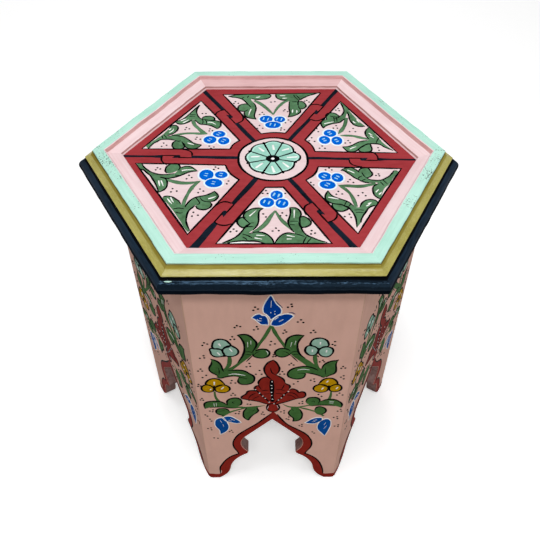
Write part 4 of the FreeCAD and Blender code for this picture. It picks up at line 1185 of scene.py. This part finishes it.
# the leaves of each cell, which were painted afresh every time
spray(1,
      [[[(-25.6, -92.6), (-29.9, -93.1), (-32.1, -95), (-33.5, -98.3), (-33.3, -100.7), (-31.9, -103.6),
        (-29.6, -106), (-27.4, -106.8), (-25.2, -106.4), (-23.3, -103.6), (-21, -101.5)]],
       [[(-46.2, -127.1, TIP), (-43.8, -126), (-39.9, -123.7), (-35.7, -120.6), (-32.1, -117.1),
        (-29.5, -113.1), (-27.4, -109.2), (-26.3, -106.8), (-24.8, -103.2)],
        [(-22.1, -100.7), (-25.1, -97), (-27.7, -92.6), (-27.3, -88.1), (-22.3, -82.1), (-15.3, -79.7),
        (-9.2, -80.1, TIP)],
        [(-9.2, -80.1, TIP), (-12.7, -83.5), (-13.7, -91.1), (-13.7, -98.5), (-15.1, -104.3),
        (-18.5, -110.1)],
        [(-21.8, -114.6), (-15.1, -112.9), (-9.2, -113.9), (-3.4, -118.5), (-0.1, -124.8),
        (0.1, -128, TIP)],
        [(-8, -127.6), (-15.3, -124.8), (-22.5, -124.6), (-28.7, -124.4), (-35.6, -125.6),
        (-41.9, -127.1)]],
       [[(26, -93), (28.5, -91.5), (30.9, -92.7), (33.5, -95.3), (35.7, -99.8), (34.8, -102.8),
        (32.3, -105.2), (28.9, -106.5), (25.9, -106.2), (24, -100)]],
       [[(16.3, -79, TIP), (21.4, -79.4), (25.4, -83.2), (26.7, -89.3), (25.4, -93), (25.2, -97.3),
        (25.2, -101.8), (25.9, -106.2), (27, -110.6), (29.2, -115), (32.3, -118.4), (35.6, -120.3),
        (41, -123.6), (48.9, -126.8, TIP)], ((48.9, -126.8, TIP), (40, -127.6), (25, -127.9),
        (1.3, -127.8, TIP)),
        [(1.3, -127.8, TIP), (4, -122.2), (7.8, -117), (11.8, -114.6), (15.8, -114.3), (19.8, -115.3)],
        [(19.2, -112.9), (17, -109.2), (15.1, -104.3), (14.4, -98.9), (15.4, -93.8), (16.6, -88.2),
        (16.8, -82.6), (16.3, -79, TIP)]]],
      [[(-22, -101.2), (-24.6, -104), (-26.2, -107.4)], [(-22, -100.9), (-18, -100.4)],
       [(-24.7, -106), (-20.9, -105.6), (-18, -105.9)],
       [(-28.3, -115.5), (-25.1, -116.7), (-21.8, -118.6), (-19.1, -120.9)],
       [(-28, -119.4), (-25.8, -120.9), (-23.6, -123.6)], [(30.3, -119.3), (28.1, -124.5), (26.5, -129.4)],
       [(34.5, -121.7), (32, -125), (30.2, -128.3)], [(16, -98.4), (23.8, -98.6)],
       [(15.8, -102.8), (20.6, -103.3)], [(19.8, -115.3), (24.1, -116.9), (29, -119.3)]],
      [[(-22.2, -91.1), (-15.8, -82.8)], [(20.6, -82.5), (19.9, -93.8)],
       [(-39, -127.4), (-28, -126.4), (-17, -126.6)], [(-15.5, -117.1), (-7.8, -117.8)],
       [(-17, -120.6), (-10.2, -122.4)], [(12.4, -117.4), (19.7, -119.3)], [(12.3, -122.2), (16.9, -122.2)]],
      [(-9.2, -87.9), (-6.7, -92.2), (8.9, -86.5), (7, -90.6), (12.8, -90.3), (2.6, -107.6), (-0.5, -111.5),
       (5.2, -111), (35.6, -111.1), (34.8, -115.5), (38.6, -114.5), (-6.5, -53.6), (-9.7, -57.7),
       (-5, -57.9), (-36.6, -108.7), (-39.4, -112.3), (-33.8, -111.5), (12.4, -57.8)])
spray(2,
      [[[(90.5, -21), (93, -17), (96, -15.5), (101, -15.5), (103, -19.5), (104.5, -24.5), (103, -28.5),
        (100.5, -30.5), (98, -32)]],
       [[(72, -20, TIP), (76, -17), (80, -15.5), (84, -15.5), (87.5, -18), (89.5, -20.5), (91, -23.5)],
        [(98, -32.5), (101, -34.5), (105, -35.5), (109, -35.5), (113.5, -34.5), (118, -31.5), (122, -28),
        (125.5, -23.5), (128, -19)], ((132, -19.5), (129, -25.5), (125, -32), (121.5, -38.5), (118, -43.5),
        (114.5, -47), (112, -51.5), (110, -56.5), (107.5, -64.5, TIP)),
        [(107.5, -64.5, TIP), (105, -63), (102.5, -60), (101.5, -55.5), (101.5, -50.5), (102.5, -46.5),
        (105.5, -43), (108.5, -40.5)],
        [(99.5, -40), (95.5, -39), (91.5, -37), (88.5, -34.5), (85.5, -32), (82, -28), (79, -24.5),
        (76, -21), (72, -20, TIP)]],
       [[(58, -73), (58, -77.5), (60, -81.5), (63, -83.5), (67, -84), (70, -82.5), (73, -80),
        (73, -78.5, TIP), (66.5, -74)]],
       [[(55.5, -53.5, TIP), (53.5, -57.5), (52, -62.5), (52.5, -67.5), (55, -70.5), (58, -72.5),
        (62.5, -73.5), (66.5, -74), (69.5, -75.5), (73.5, -78), (76, -82.5), (78, -88), (79, -93.5),
        (79, -99.5), (78.5, -106.5, TIP)],
        [(83, -99.5), (84, -95.5), (86.5, -90), (90, -84), (93.5, -78.5), (97.5, -75.5), (100.5, -74.5)],
        [(103.5, -70.5), (102.5, -67.5), (99, -66), (95, -66), (91, -68), (87.5, -72), (85, -77.5)],
        [(79, -76), (75.5, -71), (72, -68.5), (68.5, -66.5), (64, -64.5), (60, -62), (57.5, -58.5),
        (55.5, -53.5, TIP)]]],
      [[(94, -23.5), (95, -27.5), (96.5, -30.5), (98, -32.5)], [(111, -38), (112.5, -41), (114, -44)],
       [(114, -34.5), (116, -38), (118, -41.5)], [(93, -29), (90, -31), (88.5, -34.5)],
       [(96, -34), (93.5, -35.5), (91.5, -38)], [(79, -82), (84, -81.5), (88.5, -82)],
       [(80, -85.5), (83.5, -85), (87.5, -85.5)], [(72.5, -70), (71, -72.5), (70, -75.5)],
       [(77, -73), (75, -75), (74, -77)]],
      [[(79, -19.5), (83, -22), (86, -24.5)], [(104, -54.5), (105.5, -52.5), (107.5, -50)],
       [(106.5, -58), (108, -56.5), (110, -54)], [(55, -63.5), (60, -64.5), (65, -66)],
       [(93.5, -72.5), (95.5, -71.5), (97.5, -70.5)], [(91.5, -76), (93.5, -74.5), (95.5, -73)]],
      [(60, -16.5), (56, -19.5), (62.5, -19.5), (80, -35), (77.5, -38.5), (83, -39.5), (111, -25),
       (108, -27.5), (111.5, -28), (39, -40.5), (41.5, -44.5), (66, -54), (63.5, -58.5), (69.5, -58),
       (90.5, -55.5), (85.5, -60), (93, -60), (73.5, -88), (68.5, -91.5), (74.5, -92.5)])
spray(3,
      [[[(63, 71), (62, 77.5), (63.5, 82), (67, 84), (71.5, 84), (75, 81.5), (77.5, 76.5), (70.5, 72.5)]],
       [[(63, 71), (59, 69.5), (56.5, 65.5), (56, 61), (58, 54.5, TIP), (60.5, 58), (64.5, 61), (69, 63),
        (74, 64.5), (78, 66.5), (81, 70), (84, 73)],
        [(89, 83), (89, 77), (89.5, 71), (91.5, 65.5), (94, 61), (97.5, 59), (102, 58.5), (106, 59, TIP)],
        ((106, 59, TIP), (100, 68), (97.5, 73), (94.5, 79.5), (91.5, 86), (89.5, 91.5), (86, 99),
        (82, 107, TIP)),
        [(81, 105.5), (82.5, 100.5), (83.5, 95), (84, 88.5), (82.5, 83), (80, 79), (77, 76.5)]],
       [[(94.5, 16.5), (95.5, 13.5), (98.5, 12), (103.5, 12), (107.5, 13.5), (109.5, 17.5), (109, 21.5),
        (107.5, 26.5), (104, 25.5), (99.5, 21.5), (96.5, 18)]],
       [[(110, 56.5, TIP), (107, 52.5), (105, 47), (105.5, 41.5), (108, 34.5)],
        [(106, 32.5), (101.5, 31.5), (97, 30), (92, 26.5), (87.5, 23), (82.5, 21), (77.5, 20.5, TIP)],
        [(77.5, 20.5, TIP), (80, 16), (82.5, 13), (87, 12), (91.5, 13.5), (94.5, 16.5), (100.5, 23),
        (107.5, 26.5), (115, 27), (119.5, 25.5), (124, 21), (132.5, 15.5, TIP)], ((132.5, 15.5, TIP),
        (128.5, 20.5), (124.5, 26), (121.5, 31.5), (119, 38), (116.5, 43.5), (113.5, 50),
        (110, 56.5, TIP))]],
      [[(67, 78), (70, 76.5), (76.5, 76.5)], [(71, 75), (71.5, 70.5), (71, 66)],
       [(74, 75.5), (74.5, 71), (74.5, 67)], [(119.5, 38), (117, 33), (115, 27)],
       [(87.5, 86.5), (88.5, 82), (88.5, 77)]],
      [[(59.5, 62.5), (64.5, 64.5), (70.5, 66.5)], [(97.5, 71.5), (98.5, 69), (100, 66)],
       [(93, 68.5), (94, 66), (96, 64.5)], [(85, 16.5), (88.5, 19), (92.5, 21)],
       [(109, 46), (110.5, 44), (112.5, 42)], [(110, 41), (111.5, 39.5), (113.5, 37)]],
      [(77.5, 93.5), (74.5, 90), (78.5, 89), (50.5, 53), (47.5, 49.5), (52, 47.5), (73, 59.5), (69.5, 54.5),
       (74, 54.5), (92, 54.5), (87.5, 48.5), (94, 48.5), (44, 36), (41, 30.5), (47, 29.5), (84.5, 32),
       (81, 27.5), (86.5, 28), (55, 21.5), (52, 17.5), (58, 17.5), (116.5, 20), (117, 15.5)])
spray(4,
      [[[(-26, 99.5), (-28.5, 102.5), (-33, 102), (-36.5, 100), (-38.5, 94.5), (-37.5, 89.5), (-34, 87.5),
        (-30, 87.5), (-27, 90.5)]],
       [[(-50.5, 119, TIP), (-46, 117.5), (-40, 116), (-35, 113.5), (-31.5, 109.5), (-28.5, 104.5),
        (-25.5, 99)], [(-30, 88.5), (-31, 84), (-30, 78.5), (-27.5, 75), (-23.5, 73), (-17.5, 71, TIP)],
        [(-17.5, 71, TIP), (-19.5, 77), (-19, 84), (-18, 91.5), (-18.5, 99), (-21, 105.5)],
        [(-23, 114), (-18, 112), (-11.5, 112.5), (-6, 113.5), (-2, 116.5), (0, 120, TIP)],
        [(0, 120, TIP), (-3, 123), (-14.5, 123), (-40, 122), (-50.5, 119, TIP)]],
       [[(31.5, 107.5), (36, 107.5), (39, 103), (40, 98), (37, 93), (33.5, 92), (31, 97.5)]],
       [[(5.5, 124, TIP), (5.5, 119.5), (7, 115), (10, 112), (14.5, 110.5), (19, 111)],
        [(21, 107), (20.5, 98.5), (20.5, 91), (21, 83.5), (18.5, 75.5, TIP)],
        [(18.5, 75.5, TIP), (23, 77), (27, 79), (30.5, 82), (33, 85.5), (33, 92)],
        [(31, 98.5), (31, 104.5), (32, 109.5), (34.5, 112), (38.5, 116), (44, 120), (49.5, 123),
        (58, 127, TIP)]]],
      [[(-32, 117), (-33.5, 115.5), (-34.5, 113)], [(-26.5, 120), (-27.5, 118), (-28, 115)],
       [(-26, 99.5), (-24.5, 97), (-23.5, 96)], [(26.5, 121), (28.5, 116), (31.5, 110.5)],
       [(29.5, 121), (32, 116), (34.5, 111.5)], [(24, 107), (27, 107), (30, 107.5)]],
      [[(-18, 116.5), (-15.5, 117), (-13, 118)], [(-23.5, 91.5), (-25, 85.5), (-26, 78.5)],
       [(10, 120), (13, 120), (16.5, 120)], [(13, 114.5), (15.5, 114.5), (18.5, 115)],
       [(24.5, 90), (24, 87), (24, 83.5)], [(29, 89), (29, 86.5), (28.5, 83.5)]],
      [(-42, 107.5), (-43.5, 104), (-38.5, 104), (-10.5, 85), (-13.5, 81), (-8.5, 81), (-0.5, 106.5),
       (4, 107.5), (15.5, 90.5), (14, 88), (18.5, 86.5), (39, 108.5), (41.5, 110), (44, 106.5), (19, 69.5),
       (15.5, 64), (21.5, 66), (10.5, 54), (10, 50), (14, 50.5), (-13.5, 59), (-16, 53.5), (-10, 53.5)])
spray(5,
      [[[(-78, 70.5), (-77, 74.5), (-73, 76.5), (-68.5, 76.5), (-65, 74), (-64, 70.5), (-65, 68),
        (-72.5, 68.5)]],
       [[(-83.5, 100, TIP), (-86.5, 93), (-90, 86.5), (-93.5, 79.5), (-96.5, 74), (-100, 69.5),
        (-107.5, 64, TIP)],
        [(-107.5, 64, TIP), (-103, 60.5), (-99.5, 60), (-95.5, 62), (-92, 65), (-89, 68.5)],
        [(-85.5, 68.5), (-82, 63.5), (-79, 60.5), (-75, 60), (-70.5, 59), (-66, 57), (-60, 51.5, TIP)],
        [(-60, 51.5, TIP), (-57.5, 55), (-56.5, 60), (-57.5, 65), (-61, 67.5), (-68, 68), (-72.5, 69),
        (-78, 70.5)],
        [(-78, 70.5), (-80, 72), (-82.5, 75.5), (-84.5, 81), (-85.5, 87.5), (-84.5, 94), (-82.5, 99, TIP)]],
       [[(-102.5, 28), (-105, 25.5), (-106, 22), (-105.5, 17.5), (-102.5, 13.5), (-98, 13), (-94, 14.5),
        (-92.5, 18.5), (-96, 26)]],
       [[(-113, 37.5), (-109.5, 40), (-106, 43), (-104, 47), (-103, 52), (-104.5, 56), (-107.5, 57.5),
        (-110.5, 56), (-112.5, 51)], ((-112.5, 51), (-115, 46), (-117.5, 40.5), (-122, 34), (-128.5, 25),
        (-134, 17.5, TIP)),
        [(-130.5, 13, TIP), (-128.5, 18), (-126, 23), (-122.5, 26.5), (-119.5, 29.5), (-114.5, 30.5),
        (-110, 30.5), (-102.5, 28)],
        [(-96.5, 26.5), (-95, 23.5), (-93, 19), (-89.5, 15), (-85, 13.5), (-81, 14), (-77.5, 17),
        (-75, 21, TIP)],
        [(-75, 21, TIP), (-80.5, 22.5), (-84.5, 25), (-87.5, 28), (-92, 32.5), (-95.5, 35.5), (-100.5, 37),
        (-106, 37.5), (-112, 36)]]],
      [[(-119, 37), (-118, 34), (-117, 31.5)], [(-117, 38.5), (-115, 35.5), (-113, 32)],
       [(-78, 70), (-76.5, 65.5), (-77, 61)], [(-74.5, 69.5), (-72.5, 65), (-72.5, 59.5)],
       [(-92, 79), (-88.5, 79.5), (-85.5, 79)], [(-92.5, 75.5), (-89, 76), (-86, 75.5)],
       [(-102.5, 28), (-100, 27), (-97.5, 28)]],
      [[(-101.5, 66), (-98.5, 68.5), (-95.5, 70.5)], [(-98.5, 62.5), (-95.5, 65.5), (-92.5, 68.5)],
       [(-71.5, 64.5), (-67, 64), (-62, 60)], [(-112.5, 48), (-111.5, 49.5), (-110.5, 52)],
       [(-111.5, 43), (-108.5, 46.5), (-107.5, 50.5)], [(-90, 24), (-86.5, 22.5), (-83, 21)]],
      [(-78.5, 82), (-74.5, 82), (-94, 53.5), (-95, 49.5), (-90.5, 51), (-68, 51.5), (-68.5, 47.5),
       (-65, 48), (-81, 35), (-82, 31.5), (-77, 31.5), (-115.5, 23.5), (-117, 17.5), (-112, 19.5),
       (-66.5, 19), (-64.5, 15), (-61.5, 17.5)])
spray(6,
      [[[(-106.5, -28), (-108.5, -24.5), (-108.5, -21), (-108, -18), (-106, -15), (-103.5, -13), (-97, -13),
        (-95, -15.5), (-94, -19.5), (-95.5, -23)]],
       [[(-134, -13, TIP), (-131, -18.5), (-126.5, -23.5), (-122, -27), (-117, -29.5), (-111.5, -30.5),
        (-105.5, -30), (-99, -28.5)],
        [(-94, -19.5), (-90.5, -17.5), (-87.5, -16.5), (-84, -17), (-81, -19), (-76, -24, TIP)],
        [(-76, -24, TIP), (-84, -25.5), (-89, -29), (-93.5, -32), (-98.5, -34.5), (-103.5, -36),
        (-108.5, -36), (-112.5, -35)],
        [(-112.5, -35), (-109, -35.5), (-106.5, -38), (-105, -41.5), (-104.5, -45.5), (-105, -50.5),
        (-107, -54), (-111.5, -58, TIP)],
        [(-111.5, -58, TIP), (-113.5, -51.5), (-117, -43), (-119.5, -38), (-123, -32), (-127, -27.5),
        (-130.5, -23.5), (-133.5, -22.5), (-139.5, -14, TIP)]],
       [[(-74, -77), (-72, -80.5), (-68.5, -82), (-65, -82), (-62, -80.5), (-60, -78.5), (-59, -74.5),
        (-60.5, -71)]],
       [[(-106.5, -65), (-104, -63.5), (-101, -63.5), (-97, -65), (-93.5, -68), (-91, -70), (-88.5, -74.5)],
        [(-84, -79), (-82.5, -74.5), (-80.5, -70.5), (-77.5, -66.5), (-74.5, -64.5), (-70.5, -63),
        (-66, -61.5), (-62, -59.5), (-57, -55, TIP)],
        [(-57, -55, TIP), (-54.5, -59), (-53, -62.5), (-54, -65.5), (-56, -68.5), (-60.5, -71)],
        [(-75, -76.5), (-77, -79.5), (-79.5, -83), (-81, -87), (-81.5, -92), (-81.5, -97.5),
        (-80.5, -102.5), (-77, -111, TIP)], ((-78.5, -113, TIP), (-82.5, -107.5), (-86, -100), (-90, -93),
        (-93.5, -86.5), (-96.5, -81.5), (-101, -74.5), (-106.5, -65))]],
      [[(-112.5, -35.5), (-111, -35), (-109, -36)], [(-98, -31), (-95.5, -31.5), (-94, -31)],
       [(-74.5, -65.5), (-72, -69.5), (-70.5, -73.5), (-72.5, -75)],
       [(-60.5, -71), (-65, -70.5), (-67.5, -69.5), (-71, -64.5)],
       [(-95, -82), (-90.5, -80.5), (-84.5, -81.5)], [(-92.5, -86), (-89, -87.5), (-85.5, -87)]],
      [[(-113.5, -40), (-112.5, -44.5), (-111.5, -48.5)], [(-111, -40), (-109.5, -44), (-108, -48.5)],
       [(-102, -67), (-99.5, -71), (-97, -74.5)], [(-99, -65), (-97.5, -69), (-95.5, -72.5)],
       [(-92, -24), (-87.5, -22.5), (-80, -22)], [(-62.5, -66.5), (-59, -65), (-55.5, -63)]],
      [(-117, -19.5), (-118.5, -23), (-114, -21.5), (-84, -31), (-81, -34.5), (-86, -36.5), (-98.5, -52),
       (-99.5, -57), (-94, -55.5), (-71.5, -52), (-68, -55), (-73, -57.5), (-58, -17), (-55, -19),
       (-59.5, -21), (-44, -39), (-45.5, -43.5), (-75.5, -86), (-71, -90), (-76.5, -91.5)])
for piece in tray_pieces:
    off_true(piece)
    piece.data.transform(Matrix.Translation((0, 0, TRAY_LEVEL)))
    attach(piece, "root")

# ---------------------------------------------------------------------------------------------------------
# Floor, light and camera. A pale floor that keeps the stool's shadow, a dim white room and four soft lamps:
# one overhead, a long one in front of it, and two wide weak ones that open the shadows in front and behind.
FLOOR_LIT = (0.42, 0.40, 0.38, 1)
FLOOR_SEEN = (0.97, 0.97, 0.97, 1)
FLOOR_GLOW = 0.4
ROOM_LIGHT = 0.31
WHITE = (1, 1, 1, 1)


def seen_directly(material):
    """One for camera, glossy and transmission rays, nought for the light that falls on things."""
    path = add_node(material, "ShaderNodeLightPath")
    seen = path.outputs["Is Camera Ray"]
    for ray in ("Is Glossy Ray", "Is Transmission Ray"):
        either = add_node(material, "ShaderNodeMath", {0: seen, 1: path.outputs[ray]}, operation="MAXIMUM")
        seen = either.outputs[0]
    return seen


floor_paint, floor_shader = new_material("pale floor")
floor_seen = seen_directly(floor_paint)
floor_mix = add_node(floor_paint, "ShaderNodeMix", {"Factor": floor_seen}, data_type="RGBA")
floor_mix.inputs[6].default_value = FLOOR_LIT
floor_mix.inputs[7].default_value = FLOOR_SEEN
floor_paint.node_tree.links.new(floor_mix.outputs[2], floor_shader.inputs["Base Color"])
floor_glow = add_node(floor_paint, "ShaderNodeMapRange", {"Value": floor_seen, "To Min": 0,
                                                          "To Max": FLOOR_GLOW})
floor_paint.node_tree.links.new(floor_glow.outputs[0], floor_shader.inputs["Emission Strength"])
floor_shader.inputs["Emission Color"].default_value = WHITE
floor_shader.inputs["Roughness"].default_value = 0.9
floor_shader.inputs["Specular IOR Level"].default_value = 0.1
bpy.ops.mesh.primitive_plane_add(size=12, location=(0, 0, 0))
floor = bpy.context.active_object
floor.name = "floor"
floor.data.materials.append(floor_paint)

world = bpy.data.worlds.new("soft room")
world.use_nodes = True
bpy.context.scene.world = world
room = world.node_tree.nodes["Background"]
room_seen = seen_directly(world)
room_level = add_node(world, "ShaderNodeMapRange", {"Value": room_seen, "To Min": ROOM_LIGHT, "To Max": 1})
world.node_tree.links.new(room_level.outputs[0], room.inputs["Strength"])
room.inputs["Color"].default_value = WHITE


def soft_lamp(name, place, aim, width, height, power):
    """A flat soft box that faces a point."""
    data = bpy.data.lights.new(name, "AREA")
    data.shape = "RECTANGLE"
    data.size = width
    data.size_y = height
    data.energy = power
    lamp = bpy.data.objects.new(name, data)
    bpy.context.collection.objects.link(lamp)
    lamp.location = place
    lamp.rotation_euler = (Vector(aim) - Vector(place)).to_track_quat("-Z", "Y").to_euler()


soft_lamp("overhead", (-0.12, -0.3, 2.2), aim=(0, 0, 0.4), width=0.5, height=0.5, power=12.6)
soft_lamp("key", (0.02, -1.2, 2.05), aim=(0, 0, 0.4), width=1.0, height=0.22, power=12.9)
soft_lamp("front", (0.75, -2.1, 1.6), aim=(0, 0, 0.3), width=1.4, height=1.4, power=8)
soft_lamp("back", (-0.2, 2.3, 1.2), aim=(0, 0, 0.25), width=1.4, height=1.4, power=6)

CAMERA_PLACE = Vector((-0.00596, -0.5219, 0.8304))
CAMERA_YAW = math.radians(0.44)
CAMERA_DOWN = math.radians(47.18)
CAMERA_ROLL = math.radians(0.14)
CAMERA_LENS = 40.74
CAMERA_SENSOR = 36
CAMERA_NEAR = 0.05
ahead = Vector((math.sin(CAMERA_YAW) * math.cos(CAMERA_DOWN), math.cos(CAMERA_YAW) * math.cos(CAMERA_DOWN),
                -math.sin(CAMERA_DOWN)))
level = ahead.cross(Vector((0, 0, 1))).normalized()
above = level.cross(ahead)
right = level * math.cos(CAMERA_ROLL) + above * math.sin(CAMERA_ROLL)
upward = right.cross(ahead)
view = bpy.data.cameras.new("camera")
view.lens = CAMERA_LENS
view.sensor_width = CAMERA_SENSOR
view.clip_start = CAMERA_NEAR
camera = bpy.data.objects.new("camera", view)
bpy.context.collection.objects.link(camera)
facing = Matrix((right, upward, -ahead)).transposed().to_4x4()
camera.matrix_world = Matrix.Translation(CAMERA_PLACE) @ facing
bpy.context.scene.camera = camera
bpy.context.scene.view_settings.view_transform = "Standard"
